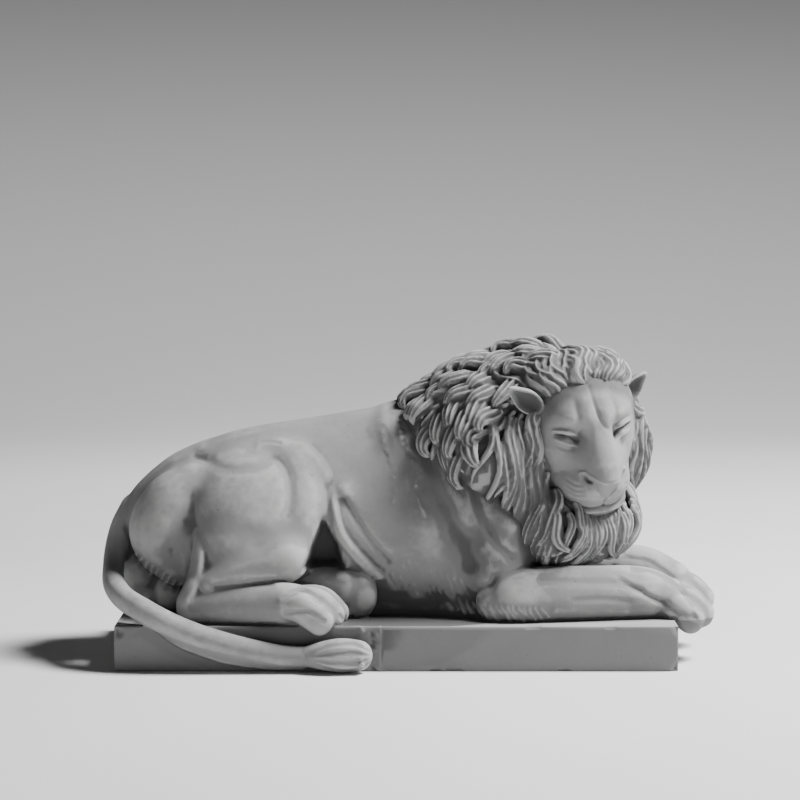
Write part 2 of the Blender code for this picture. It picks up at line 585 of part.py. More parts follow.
def face_marks():
    """Furrows, nostrils, mouth and whisker lines: depth, width and path as right, up."""
    marks = [
        (-0.8, 1.2, [(-1.0, 24), (-1.2, 19), (-0.6, 14.5), (0.8, 10), (2.8, 6.5), (5.2, 3.6)]),
        (-1.0, 0.8, [(0, -31.0), (0, -33), (0, -35)]),
        (0.7, 0.7, [(-10.2, -17.0), (-7.4, -18.4), (-3.5, -20.4), (0.5, -21.0), (5.5, -20.4)]),
        (-1.1, 0.8, [(7.8, -21.0), (5.2, -25.0), (1.2, -29.6)]),
        (-0.6, 0.8, [(-6.6, -22.0), (-4.4, -26.0), (-1.0, -29.8)]),
    ]
    for s in (-1, 1):
        marks += [
            (-0.6, 1.6, [(10.6 * s, 18), (11.2 * s, 13), (10.4 * s, 8)]),
            (-0.6, 0.9, [(22.5 * s, 4.6), (19.5 * s, 5.4), (15 * s, 5.2), (12 * s, 3.4)]),
            (1.0, 0.8, [(22.5 * s, 2.8), (18.5 * s, 3.4), (14.5 * s, 2.8), (12.0 * s, 1.2)]),
            (-2.3, 1.2, [(21.0 * s, 0.4), (19.0 * s, 0.3), (16.5 * s, 0.0), (14.0 * s, -0.7),
                         (12.6 * s, -1.4), (11.4 * s, -2.2)]),
            (-1.5, 1.0, [(22.0 * s, 0.7), (19.0 * s, 0.1), (15.5 * s, -0.7)]),
            (0.8, 0.7, [(22.0 * s, -1.8), (18.5 * s, -3.0), (14.5 * s, -4.2), (12.0 * s, -5.0)]),
            (-0.4, 1.0, [(22.0 * s, -4.4), (18.5 * s, -6.4), (14.5 * s, -7.4)]),
            (-1.7, 0.85, [(10.8 * s, -19.2), (10.0 * s, -20.6), (8.4 * s, -21.2)]),
            (0.9, 0.8, [(12.8 * s, -19.8), (12.4 * s, -17.4), (10.2 * s, -16.2)]),
            (-1.3, 0.9, [(0, -36.8), (4.5 * s, -37.6), (9 * s, -37.8), (14 * s, -37.2),
                         (18 * s, -35.8), (21.5 * s, -33.2), (24.0 * s, -30.0)]),
            (0.8, 0.8, [(0, -40.0), (6 * s, -40.2), (12 * s, -40.4), (18 * s, -39.6)]),
            (-0.5, 0.7, [(13.0 * s, -23.0), (15.6 * s, -23.6), (18.4 * s, -22.2)]),
            (-0.5, 0.7, [(12.4 * s, -25.6), (15.4 * s, -26.6), (18.8 * s, -25.2)]),
            (-0.5, 0.7, [(12.4 * s, -28.4), (15.4 * s, -29.6), (19.0 * s, -28.2)]),
        ]
    return marks


# The mane's underlying mass: ellipsoids as centre, half sizes and axes
MANE_BALLS = [
    (head((0, -35, 0))[0], (35.5, 20, 35), HEAD_AXES),
    (head((0, -22, -24))[0], (42, 11, 33), HEAD_AXES),
    (head((0, -25, 20))[0], (25, 11, 12), HEAD_AXES),
    (head((0, -10, -49))[0], (26, 13, 18), HEAD_AXES),
    (np.array([76.0, 0.0, 101.0]), (38, 35, 45), np.eye(3)),
    (np.array([50.0, 2.0, 96.0]), (40, 40, 41), np.eye(3)),
    (np.array([24.0, 4.0, 94.0]), (30, 31, 27), np.eye(3)),
    (np.array([101.0, -14.0, 50.0]), (28, 15, 24), np.eye(3)),
    (np.array([86.0, -8.0, 60.0]), (22, 21, 30), np.eye(3)),
    (np.array([65.0, -18.0, 67.0]), (20, 18, 33), np.eye(3)),
    (np.array([85.0, -22.0, 46.0]), (18, 19, 22), np.eye(3)),
    (np.array([50.0, -16.0, 84.0]), (24, 28, 28), np.eye(3)),
]
MANE_BLEND = 0.28


def mane_distance(p):
    """Signed distance to the mane mass: a smooth least of k0 * (k0 - 1) / k1 per ellipsoid."""
    found = []
    for centre, half, axes in MANE_BALLS:
        q = (p - centre) @ axes
        k0 = np.linalg.norm(q / half, axis=-1)
        k1 = np.linalg.norm(q / np.square(half), axis=-1)
        found.append(k0 * (k0 - 1) / np.maximum(k1, 1e-9))
    d = np.stack(found, axis=-1)
    least = d.min(axis=-1, keepdims=True)
    return least[..., 0] - np.log(np.exp(-MANE_BLEND * (d - least)).sum(-1)) / MANE_BLEND


def mane_outward(p, step=0.4):
    """Direction in which the distance grows."""
    shifts = np.eye(3) * step
    g = np.stack([mane_distance(p + v) - mane_distance(p - v) for v in shifts], axis=-1)
    return unit(g)


def settled(p, steps=3):
    """Points moved along the outward direction onto the mane mass."""
    for _ in range(steps):
        p = p - mane_outward(p) * mane_distance(p)[..., None]
    return p


def mane_shells():
    """The mane mass itself, under the locks."""
    return [ball(c, h, a) for c, h, a in MANE_BALLS]


def lock_paths(roots, heading, length, wave, phase, waves, curl, lifts, steps=13):
    """Paths of locks over the mane mass.

    Each step follows heading(p, n), turned sideways by wave * cos(2 pi waves t + phase)
    + curl * t^2 and settled on the mass; the path rises from root to crest to tip.
    """
    p = roots.copy()
    places = []
    outward = []
    stride = (length / steps)[:, None]
    for i in range(steps + 1):
        t = i / steps
        n = mane_outward(p)
        along = heading(p, n)
        along = unit(along - n * (along * n).sum(-1, keepdims=True))
        places.append(p)
        outward.append(n)
        turn = wave * np.cos(2 * math.pi * waves * t + phase) + curl * t * t
        turn = (turn + np.zeros(len(p)))[:, None]
        along = along * np.cos(turn) + np.cross(n, along) * np.sin(turn)
        p = settled(p + along * stride, 1)
    t = np.linspace(0.0, 1.0, steps + 1)
    rise = np.interp(t, [0, 0.25, 0.6, 0.85, 1.0], lifts)
    places = np.stack(places, axis=1)
    outward = np.stack(outward, axis=1)
    return places + outward * rise[None, :, None], outward


def lock_shells(paths, outward, width, thick, groove=0.35, grooves=3, sides=20):
    """Tapering locks with grooves along them, one closed shell for each path.

    The half width is w * sqrt(sin(pi (0.14 + 0.86 t))) * (1 - 0.3 t), and the upper side is
    scaled by 1 - groove * (1 + cos(2 grooves f)) / 2.
    """
    n = paths.shape[1]
    t = np.linspace(0.0, 1.0, n)
    along = unit(np.gradient(paths, axis=1))
    side = unit(np.cross(outward, along))
    top = np.cross(along, side)
    taper = np.sqrt(np.clip(np.sin(math.pi * (0.14 + 0.86 * t)), 0, 1)) * (1 - 0.3 * t)
    w = width[:, None] * np.maximum(taper, 0.08)
    h = thick[:, None] * np.maximum(taper, 0.08) ** 0.8
    f = np.linspace(0.0, 2 * math.pi, sides, endpoint=False)
    part = 0.5 + 0.5 * np.cos(2 * grooves * (f - math.pi / 2) + math.pi * (grooves % 2 == 0))
    ridge = 1 - groove * part * (np.sin(f) > 0.05)
    x = w[..., None] * np.cos(f)
    z = h[..., None] * np.sin(f) * ridge
    rings = paths[:, :, None] + side[:, :, None] * x[..., None] + top[:, :, None] * z[..., None]
    first = paths[:, 0] - along[:, 0] * w[:, :1]
    last = paths[:, -1] + along[:, -1] * w[:, -1:] * 1.5
    return closed_shells(rings, first, last)


def spread(count):
    """Directions spread evenly over a sphere, by the golden angle."""
    i = np.arange(count) + 0.5
    z = 1 - 2 * i / count
    turn = math.pi * (1 + 5**0.5) * i
    r = np.sqrt(1 - z * z)
    return np.stack([r * np.cos(turn), r * np.sin(turn), z], axis=-1)


def swept_back(p, n):
    """Crown and neck hair: back over the head, then back along the neck and down its sides."""
    t = np.clip((100 - p[:, :1]) / 50, 0, 1)
    back = unit((1 - t) * -HEAD_FRONT + t * np.array([-1.0, 0.05, -0.1]))
    steep = np.clip(1.15 - 1.2 * np.abs(n[:, 2:3]), 0, 1)
    low = np.clip((105 - p[:, 2:3]) / 30, 0, 1)
    hang = np.array([-0.35, 0.0, -1.0]) + low * np.array([0.45, 0.0, 0.0])
    return back * (1 - steep) + hang * steep


def crown_roots(count, centre=(70.0, 0.0, 94.0)):
    """Roots spread over the mass, behind the face and above the line from withers to throat."""
    roots = settled(np.array(centre) + 46 * spread(count), 5)
    ahead = unit(roots - HEAD_PLACE + HEAD_FRONT * 26) @ HEAD_FRONT
    above = roots[:, 2] - (118 - 1.14 * roots[:, 0])
    above = above + np.where(roots[:, 1] > 0, 14, 0)
    q = (roots - HEAD_PLACE) @ HEAD_AXES
    ears = np.abs(np.abs(q[:, 0]) - 37) + np.abs(q[:, 2] - 16) + np.maximum(-q[:, 1] - 24, 0)
    keep = (ahead < 0.1) & (above > 6) & (roots[:, 2] > 44) & (ears > 13)
    return roots[keep]


def off_ears(paths):
    """Which paths keep clear of both ears."""
    ears = head([(-34, -17, 18), (32, -22, 14)])
    far = np.linalg.norm(paths[:, :, None] - ears[None, None], axis=-1)
    return (far.min(axis=1) > (8.0, 6.5)).all(axis=1)


def crown_locks():
    """Bold curls over small sunk strands."""
    roots = crown_roots(620)
    i = np.arange(len(roots))
    paths, outward = lock_paths(roots, swept_back, 15 + 2 * wander(i, 2.4), 0.4,
                                wander(i, 1.9), 0.8, 0.4, (-1.5, -0.3, 0.4, 0.4, -0.3))
    clear = off_ears(paths)
    shells = [lock_shells(paths[clear], outward[clear], (2.6 + 0.3 * wander(i, 1.7))[clear],
                          (2.2 + 0 * i)[clear], sides=14, groove=0.4, grooves=2)]
    roots = crown_roots(250, (70.0, 0.0, 95.0))
    i = np.arange(len(roots))
    n = mane_outward(roots)
    low = np.clip((112 - roots[:, 2]) / 46, 0, 1)
    edge = np.clip((roots[:, 2] - (122 - 1.14 * roots[:, 0])) / 22, 0, 1)
    curl = np.where(roots[:, 1] < 12, 1.0, -1.0) * (1.35 + 0.35 * wander(i, 2.7))
    paths, outward = lock_paths(roots, swept_back, 21 + 3 * wander(i, 2.4) + 3 * low,
                                0.35, 1.5 * wander(i, 2.1), 0.8, curl,
                                (-2.5, 1.4, 3.6, 3.4, 0.8))
    paths = paths + outward * (0.9 * wander(i, 3.3) - 1.6 * (1 - edge))[:, None, None]
    clear = off_ears(paths)
    paths, outward, i, low, edge = (v[clear] for v in (paths, outward, i, low, edge))
    shells.append(lock_shells(paths, outward, 5.6 - 0.8 * low + 0.6 * wander(i, 1.7),
                              3.8 - 0.9 * (1 - edge), groove=0.6, grooves=4, sides=36))
    return shells


def hairline(a, size):
    """Places right and up on the line where the hair begins, at angles round the face.

    The line is an oval through measured places, taller than wide, enlarged by size.
    """
    turn = np.radians([0, 24, 44, 62, 78, 90, 108, 128, 146, 180])
    right = np.interp(np.abs(a), turn, [0, 11, 18.5, 25, 28.5, 28.5, 28, 27, 24, 0])
    up = np.interp(np.abs(a), turn, [24.5, 24, 20.5, 15.5, 5, -6, -17, -28, -37, -44])
    return np.sign(a) * right * size, -7 + (up + 7) * size


def framing(p, n):
    """Hair round the face: outwards and back at the brow, falling at the cheeks and chin."""
    q = (p - HEAD_PLACE) @ HEAD_AXES
    away = unit(np.stack([q[:, 0], 0 * q[:, 0], q[:, 2] + 8], axis=-1))
    high = np.clip((q[:, 2:3] - 9) / 12, 0, 1)
    go = away * (0.12 + 0.9 * high) - np.array([0, 1.0, 0]) * (0.1 + 0.9 * high)
    return go @ HEAD_AXES.T - np.array([0, 0, 1.0]) * (1 - high) * 1.1


def frame_locks():
    """Rings of strands round the face, each ring farther out and back, waving together."""
    shells = []
    rings = ((1.0, 0, 84, 1.0), (1.09, -4, 80, 1.0), (1.19, -9, 74, 0.85), (1.3, -14, 70, 0.45),
             (1.41, -19, 66, 0.45), (1.52, -24, 58, 0.4))
    for ring, (size, back, count, highest) in enumerate(rings):
        i = np.arange(count)
        a = 2 * math.pi * ((i + 0.5 * (ring % 2)) / count - 0.5) + 0.03 * wander(i, 2.9)
        a = a[(np.cos(a) <= highest) & (np.abs(a) < math.radians(146))]
        i = np.arange(len(a))
        top = np.clip(np.cos(a), 0, 1)
        low = np.clip(-np.cos(a), 0, 1)
        right, up = hairline(a, size)
        rows = np.stack([right, back - 15 + 14 * low**1.5, up], axis=-1)
        roots = settled(head(rows), 3)
        length = 22 + 16 * (1 - top) - 2 * low + 5 * ring + 3 * wander(i, 2.2)
        phase = 2.2 * np.sin(1.5 * a) + 0.05 * roots[:, 2] + 0.25 * wander(i, 1.3)
        paths, outward = lock_paths(roots, framing, length, 0.3 + 0.4 * top, phase,
                                    1.3, 0.4 * wander(i, 2.6), (-0.8, 0.9, 1.2, 0.6, -0.6))
        paths = paths + outward * ((0.6 + 0.5 * top) * wander(i, 4.1))[:, None, None]
        clear = off_ears(paths)
        paths, outward, i, top = paths[clear], outward[clear], i[clear], top[clear]
        shells.append(lock_shells(paths, outward, 2.2 + 0.3 * wander(i, 2.0) + 0.6 * top,
                                  2.2 + 0.5 * top, groove=0.45, grooves=2, sides=18))
    return shells


def hanging(p, n):
    """Straight down."""
    return np.array([0.0, 0.0, -1.0]) + 0 * p


def beard_locks():
    """Strands hanging from the lower lip and jaw, in two rows, with tips that curl."""
    shells = []
    for row, (count, left, ahead, length) in enumerate(((12, -24.0, 11.0, 26.0),
                                                        (18, -33.0, 3.0, 31.0))):
        i = np.arange(count)
        across = np.linspace(left, 19.0, count) + 0.5 * wander(i, 2.3)
        rows = np.stack([across, ahead - 0.022 * across**2, 0 * across - 46.0], axis=-1)
        roots = settled(head(rows), 4)
        paths, outward = lock_paths(roots, hanging, length + 4 * wander(i, 1.9), 0.28,
                                    0.9 * wander(i, 0.8) + 1.5 * row, 1.2,
                                    1.3 * np.sign(wander(i, 2.9)),
                                    (1.5 - row, 3.0 - row, 3.4 - row, 3.0 - row, 1.8))
        paths = paths + outward * (0.8 * wander(i, 3.7))[:, None, None]
        shells.append(lock_shells(paths, outward, 3.0 + 0.4 * wander(i, 2.0), 3.0 + 0 * i,
                                  groove=0.5, grooves=3, sides=26))
    return shells


def mane_locks():
    """All the hair: crown and neck, the rings round the face, the beard and its flat lobe."""
    lobe = roll([(74, -34, 60, 4, 2.6), (78, -37, 52, 5.2, 2.8), (82, -39, 44, 5.4, 2.6),
                 (85, -40, 37, 4, 2)], (0, 1, 0))
    return crown_locks() + frame_locks() + beard_locks() + [lobe]


def build_lion():
    """The whole figure as one fine skin, the narrow slots between its locks closed."""
    core = worked(mesh_of("core", core_masses()), CORE_VOXEL, 14)
    core = hollow(core, [(-53, 26), (-38, 62), (-34, 58), (-30, 40), (-22, 26)], 20.0, 4.0)
    limbs = worked(mesh_of("limbs", limb_masses()), LIMB_VOXEL, 3)
    body = worked(joined("body", [core, limbs]), LIMB_VOXEL, 5)
    body = strokes(body, body_marks(), SIDE_VIEW)
    face = worked(mesh_of("face", head_masses()), HEAD_VOXEL, 4)
    face = worked(joined("face", [face, mesh_of("ears", crisp_head_masses())]), HEAD_VOXEL, 1)
    face = strokes(face, face_marks(), FACE_VIEW, HEAD_PLACE, 0.5)
    mane = worked(mesh_of("mane", mane_shells() + mane_locks()), MANE_VOXEL, 1)
    return slots_closed(worked(joined("skin", [body, face, mane]), SKIN_VOXEL, 1))


def slots_closed(mesh):
    """The skin swollen by SLOT, fused again and drawn back by as much."""
    for reach in (SLOT, -SLOT):
        points, normals = points_and_normals(mesh)
        place_points(mesh, points + reach * normals)
        mesh = worked(mesh, SKIN_VOXEL)
    return mesh


def plaster():
    """Matte grey plaster."""
    material = bpy.data.materials.new("plaster")
    material.use_nodes = True
    shader = material.node_tree.nodes["Principled BSDF"]
    shader.inputs["Base Color"].default_value = (0.28, 0.28, 0.28, 1.0)
    shader.inputs["Roughness"].default_value = 0.85
    return material


def main():
    """Builds the casting as one named object."""
    for thing in list(bpy.data.objects):
        bpy.data.objects.remove(thing)
    skin = worked(build_lion(), triangles=SKIN_TRIANGLES)
    points, _ = points_and_normals(skin)
    points[:, 2] += PLINTH_HEIGHT / UNIT
    place_points(skin, points)

    half = np.array([PLINTH_LENGTH, PLINTH_WIDTH, PLINTH_HEIGHT]) / 2
    corners = np.array([(x, y, z) for x in (-1, 1) for y in (-1, 1) for z in (-1, 1)])
    block = bpy.data.meshes.new("plinth")
    sides = [(0, 1, 3, 2), (4, 6, 7, 5), (0, 4, 5, 1), (2, 3, 7, 6), (0, 2, 6, 4), (1, 5, 7, 3)]
    block.from_pydata((corners * half + (0, 0, half[2])).tolist(), [], sides)
    block.update()

    lion = bpy.data.objects.new("lion_on_plinth", block)
    bpy.context.scene.collection.objects.link(lion)
    lion.data.materials.append(plaster())
    edge = lion.modifiers.new("worn edges", "BEVEL")
    edge.width = PLINTH_EDGE
    edge.segments = 2
    figure = bpy.data.objects.new("figure", skin)
    bpy.context.scene.collection.objects.link(figure)
    figure.hide_render = True
    figure.display_type = "WIRE"
    union = lion.modifiers.new("cast together", "BOOLEAN")
    union.operation = "UNION"
    union.solver = "EXACT"
    union.object = figure


main()
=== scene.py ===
# %% [markdown]
# # A plaster lion, lying on its plinth
#
# The real thing is one casting in plaster: a mould is filled, opened and the seams are
# scraped down. Softened edges, small air holes and a faint seam are what such a casting
# shows. The packed model is the same figure with few faces. Here the figure is worked
# out again from the same masses, with a fine skin, and takes the solid's place.

# %% The packed model
import math

import bpy
import numpy as np
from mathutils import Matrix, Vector


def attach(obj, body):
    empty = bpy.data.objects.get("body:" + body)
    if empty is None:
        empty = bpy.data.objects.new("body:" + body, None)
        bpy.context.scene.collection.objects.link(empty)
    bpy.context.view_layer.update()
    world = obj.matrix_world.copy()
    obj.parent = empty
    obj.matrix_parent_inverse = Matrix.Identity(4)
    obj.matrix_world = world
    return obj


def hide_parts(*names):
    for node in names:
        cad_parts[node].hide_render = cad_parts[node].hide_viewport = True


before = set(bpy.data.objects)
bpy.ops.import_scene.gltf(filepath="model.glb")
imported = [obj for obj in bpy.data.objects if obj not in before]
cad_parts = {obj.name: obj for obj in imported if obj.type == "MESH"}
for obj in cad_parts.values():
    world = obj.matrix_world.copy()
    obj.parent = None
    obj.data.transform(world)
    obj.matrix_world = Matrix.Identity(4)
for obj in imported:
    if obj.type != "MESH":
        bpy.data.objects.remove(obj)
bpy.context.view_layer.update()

# %% [markdown]
# The picture was taken from about one and a half metres, a little above the lion's back
# and square to the plinth. A long lens keeps the plinth's ends almost level. The camera
# could be aimed at a target, but a place and a tilt as numbers are easier to check against
# measurements in the picture.

# %% Camera
FOCAL_PIXELS = 2635
PICTURE_PIXELS = 800
CAMERA_PLACE = (0.002, -1.4499, 0.2562)
CAMERA_TILT = math.radians(4.6)


def placed(name, data):
    """A new object in the scene that shows the data."""
    made = bpy.data.objects.new(name, data)
    bpy.context.scene.collection.objects.link(made)
    return made


lens = bpy.data.cameras.new("camera")
lens.sensor_width = 36
lens.lens = FOCAL_PIXELS / PICTURE_PIXELS * lens.sensor_width
lens.clip_end = 30
camera = placed("camera", lens)
camera.location = CAMERA_PLACE
camera.rotation_euler = (math.pi / 2 - CAMERA_TILT, 0, 0)
bpy.context.scene.camera = camera
print("lens in mm", round(lens.lens, 1))

# %% [markdown]
# A sculptor speaks of a figure in shares of its height, so the lion is worked out in
# figure units, 153 of them to its height, from the middle of the plinth's upper face.
# The plinth has sizes of its own, because a taller lion needn't stand on a longer plinth.

# %% Sizes
PLINTH_LENGTH = 0.300
PLINTH_WIDTH = 0.130
PLINTH_HEIGHT = 0.024
LION_HEIGHT = 0.153
UNIT = LION_HEIGHT / 153.0

print("one figure unit is", UNIT * 1000, "mm")

# %% [markdown]
# The head is turned to the viewer, bowed and tilted a little to one side, so it gets
# three directions of its own: right, front and up, from the point midway between the
# eyes. Everything on the face can then be placed as if the lion looked straight ahead.


# %% Directions of the head
def unit(v):
    """Each vector divided by its own length."""
    return v / np.maximum(np.linalg.norm(v, axis=-1, keepdims=True), 1e-12)


HEAD_PLACE = np.array([108.1, -38.0, 99.8])
HEAD_TURN = math.radians(22.0)
HEAD_BOW = math.radians(19.0)
HEAD_ROLL = math.radians(7.0)
HEAD_FRONT = np.array([math.sin(HEAD_TURN) * math.cos(HEAD_BOW),
                       -math.cos(HEAD_TURN) * math.cos(HEAD_BOW), -math.sin(HEAD_BOW)])
HEAD_LEVEL = np.array([math.cos(HEAD_TURN), math.sin(HEAD_TURN), 0.0])
HEAD_SLOPE = np.cross(HEAD_FRONT, HEAD_LEVEL)
HEAD_RIGHT = HEAD_LEVEL * math.cos(HEAD_ROLL) + HEAD_SLOPE * math.sin(HEAD_ROLL)
HEAD_UP = np.cross(HEAD_FRONT, HEAD_RIGHT)
HEAD_AXES = np.stack([HEAD_RIGHT, HEAD_FRONT, HEAD_UP], axis=1)


def head(rows):
    """Rows given as right, front, up from between the eyes, in figure coordinates."""
    rows = np.atleast_2d(np.asarray(rows, float)).copy()
    rows[:, :3] = HEAD_PLACE + rows[:, :3] @ HEAD_AXES.T
    return rows


print("the lion looks along", np.round(HEAD_FRONT, 2))

# %% [markdown]
# Large forms come first, as clay is built up before it is carved. Two closed shells give
# nearly all of them: a rounded bar carried along a smooth path, for limbs, barrel and
# folds, and an ellipsoid, for haunches, skull and toe pads. Subdivision cages would do it
# too, but bars and balls can be pushed about without redrawing any edges.


# %% Bars and balls
def smooth_rows(rows, steps):
    """Rows joined by a Catmull-Rom curve: each stretch p(t) has the slope (next - before) / 2."""
    rows = np.asarray(rows, float)
    p = np.vstack([2 * rows[0] - rows[1], rows, 2 * rows[-1] - rows[-2]])
    t = np.linspace(0.0, 1.0, steps, endpoint=False)[:, None]
    parts = []
    for a, b, c, d in zip(p, p[1:], p[2:], p[3:]):
        bend = (2 * a - 5 * b + 4 * c - d) * t**2
        parts.append(0.5 * (2 * b + (c - a) * t + bend + (3 * b - a - 3 * c + d) * t**3))
    return np.vstack(parts + [rows[-1:]])


def closed_shells(rings, first, last):
    """Shells from rings (shell, ring, point, xyz), each closed by a point at either end."""
    k, n, m, _ = rings.shape
    count = n * m + 2
    points = np.concatenate([rings.reshape(k, n * m, 3), first[:, None], last[:, None]], axis=1)
    j = np.arange(m)
    after = (j + 1) % m
    row = np.arange(n - 1)[:, None] * m
    quads = np.stack([row + j, row + after, row + m + after, row + m + j], axis=-1)
    low = np.stack([np.full(m, n * m), after, j], axis=-1)
    high = np.stack([np.full(m, n * m + 1), (n - 1) * m + j, (n - 1) * m + after], axis=-1)
    shift = (np.arange(k) * count)[:, None, None]
    quads = quads.reshape(1, -1, 4) + shift
    caps = np.vstack([low, high])[None] + shift
    return points.reshape(-1, 3), [quads.reshape(-1, 4), caps.reshape(-1, 3)]


def roll(rows, up=(0, 0, 1), sides=24, steps=6, egg=0.0, square=2.0, blunt=1.0):
    """Rounded bar through rows of x, y, z, half width and half height.

    A ring is c + side * w * cos(f) * (1 - egg * sin(f)) + up * h * sin(f), and the ends
    close as half ellipsoids. A square over 2 flattens the sides.
    """
    s = smooth_rows(rows, steps)
    along = unit(np.gradient(s[:, :3], axis=0))
    cap = np.radians([75.0, 60.0, 45.0, 30.0, 15.0])
    order = np.concatenate([np.zeros(5, int), np.arange(len(s)), np.full(5, len(s) - 1)])
    shrink = np.concatenate([np.cos(cap), np.ones(len(s)), np.cos(cap[::-1])])
    reach = np.concatenate([-np.sin(cap), np.zeros(len(s)), np.sin(cap[::-1])])
    length = blunt * s[order, 3:5].mean(axis=1)
    centre = s[order, :3] + along[order] * (reach * length)[:, None]
    side = unit(np.cross(np.asarray(up, float), along))[order]
    top = np.cross(along[order], side)
    f = np.linspace(0.0, 2 * math.pi, sides, endpoint=False)
    c = np.sign(np.cos(f)) * np.abs(np.cos(f)) ** (2 / square)
    e = np.sign(np.sin(f)) * np.abs(np.sin(f)) ** (2 / square)
    w = (s[order, 3] * shrink)[:, None] * c * (1 - egg * e)
    h = (s[order, 4] * shrink)[:, None] * e
    rings = centre[:, None] + side[:, None] * w[..., None] + top[:, None] * h[..., None]
    first = s[0, :3] - along[0] * length[0]
    last = s[-1, :3] + along[-1] * length[-1]
    return closed_shells(rings[None], first[None], last[None])


def ball(centre, half, axes=None, sides=28, rings=16):
    """Ellipsoid with half sizes along the given axes."""
    axes = np.eye(3) if axes is None else axes
    half = np.asarray(half, float)
    t = np.linspace(0.0, math.pi, rings + 1)[1:-1, None]
    f = np.linspace(0.0, 2 * math.pi, sides, endpoint=False)
    z = np.repeat(-np.cos(t), sides, axis=1)
    p = np.stack([np.sin(t) * np.cos(f), np.sin(t) * np.sin(f), z], axis=-1) * half
    ends = np.array([[0.0, 0.0, -half[2]], [0.0, 0.0, half[2]]]) @ axes.T + centre
    return closed_shells((p @ axes.T + centre)[None], ends[:1], ends[1:])


def leaning(degrees):
    """Axes whose upright leans away from the viewer by an angle."""
    c, s = math.cos(math.radians(degrees)), math.sin(math.radians(degrees))
    return np.array([[1, 0, 0], [0, c, s], [0, -s, c]])


def head_roll(rows, up=HEAD_UP, **shape):
    """A roll whose rows are given in the head's own directions."""
    return roll(head(rows), up, **shape)


def head_ball(centre, half):
    """An ellipsoid placed and turned with the head."""
    return ball(head(centre)[0, :3], half, HEAD_AXES)


print("a bar of two rows has", len(roll([(0, 0, 0, 5, 5), (20, 0, 0, 5, 5)])[0]), "points")

# %% [markdown]
# Overlapping shells aren't one skin yet. A voxel remesh lays a fine grid through them and
# keeps only the outer surface, which rounds each meeting line as a wet thumb would. A
# Boolean union would leave hard creases there. The finer the voxels, the crisper the work.


# %% Making and fusing meshes
def mesh_of(name, shells):
    """One mesh in metres from closed shells in figure units."""
    points = np.vstack([p for p, _ in shells]) * UNIT
    faces = []
    start = 0
    for p, groups in shells:
        for group in groups:
            faces += (group + start).tolist()
        start += len(p)
    mesh = bpy.data.meshes.new(name)
    mesh.from_pydata(points.tolist(), [], faces)
    mesh.update()
    return mesh


def worked(mesh, voxel=None, smooth=0, triangles=None):
    """The mesh after a voxel remesh, smoothing passes and a reduction, each if asked for."""
    stand = placed("work", mesh)
    if voxel:
        remesh = stand.modifiers.new("fuse", "REMESH")
        remesh.mode = "VOXEL"
        remesh.voxel_size = voxel * UNIT
        remesh.use_smooth_shade = True
    if smooth:
        ease = stand.modifiers.new("ease", "SMOOTH")
        ease.factor = 0.5
        ease.iterations = smooth
    if triangles:
        corners = stand.modifiers.new("split", "TRIANGULATE")
        corners.quad_method = "BEAUTY"
        view = bpy.context.evaluated_depsgraph_get()
        count = len(stand.evaluated_get(view).data.polygons)
        fewer = stand.modifiers.new("fewer", "DECIMATE")
        fewer.ratio = min(1.0, triangles / count)
        fewer.use_collapse_triangulate = True
    view = bpy.context.evaluated_depsgraph_get()
    result = bpy.data.meshes.new_from_object(stand.evaluated_get(view))
    bpy.data.objects.remove(stand)
    return result


def joined(name, meshes):
    """Several meshes as one, still overlapping."""
    points = []
    faces = []
    start = 0
    for mesh in meshes:
        xyz = np.empty(len(mesh.vertices) * 3, np.float32)
        mesh.vertices.foreach_get("co", xyz)
        loops = np.empty(len(mesh.loops), np.int32)
        mesh.loops.foreach_get("vertex_index", loops)
        sizes = np.empty(len(mesh.polygons), np.int32)
        mesh.polygons.foreach_get("loop_total", sizes)
        points.append(xyz.reshape(-1, 3))
        faces.append((loops + start, sizes))
        start += len(mesh.vertices)
    xyz = np.vstack(points)
    loops = np.concatenate([f for f, _ in faces])
    sizes = np.concatenate([s for _, s in faces])
    mesh = bpy.data.meshes.new(name)
    mesh.vertices.add(len(xyz))
    mesh.vertices.foreach_set("co", xyz.ravel())
    mesh.loops.add(len(loops))
    mesh.loops.foreach_set("vertex_index", loops)
    mesh.polygons.add(len(sizes))
    mesh.polygons.foreach_set("loop_start", np.cumsum(sizes) - sizes)
    mesh.polygons.foreach_set("loop_total", sizes)
    mesh.update(calc_edges=True)
    return mesh


print("a ball has", sum(len(group) for group in ball((0, 0, 0), (1, 1, 1))[1]), "faces")

# %% [markdown]
# Creases, furrows and raised tendons are drawn on the fused skin afterwards, as a tool is
# pressed into soft clay. A stroke is drawn in a flat view, of the lion's side or of its
# face, and pushes only the skin that looks towards that view. Bars could carry them too,
# but a stroke needs only its depth, its width and a few places.


# %% Strokes on the skin
SIDE_VIEW = (np.array([1.0, 0, 0]), np.array([0, 0, 1.0]), np.array([0, -1.0, 0]))
FACE_VIEW = (HEAD_RIGHT, HEAD_UP, HEAD_FRONT)
STROKE_REACH = 2.8


def points_and_normals(mesh):
    """Places in figure units and outward directions of a mesh's vertices."""
    xyz = np.empty(len(mesh.vertices) * 3, np.float32)
    mesh.vertices.foreach_get("co", xyz)
    normals = np.empty(len(mesh.vertices) * 3, np.float32)
    mesh.vertex_normals.foreach_get("vector", normals)
    return xyz.reshape(-1, 3).astype(float) / UNIT, normals.reshape(-1, 3).astype(float)


def place_points(mesh, points):
    """Writes places in figure units back to a mesh."""
    mesh.vertices.foreach_set("co", (points * UNIT).astype(np.float32).ravel())
    mesh.update()


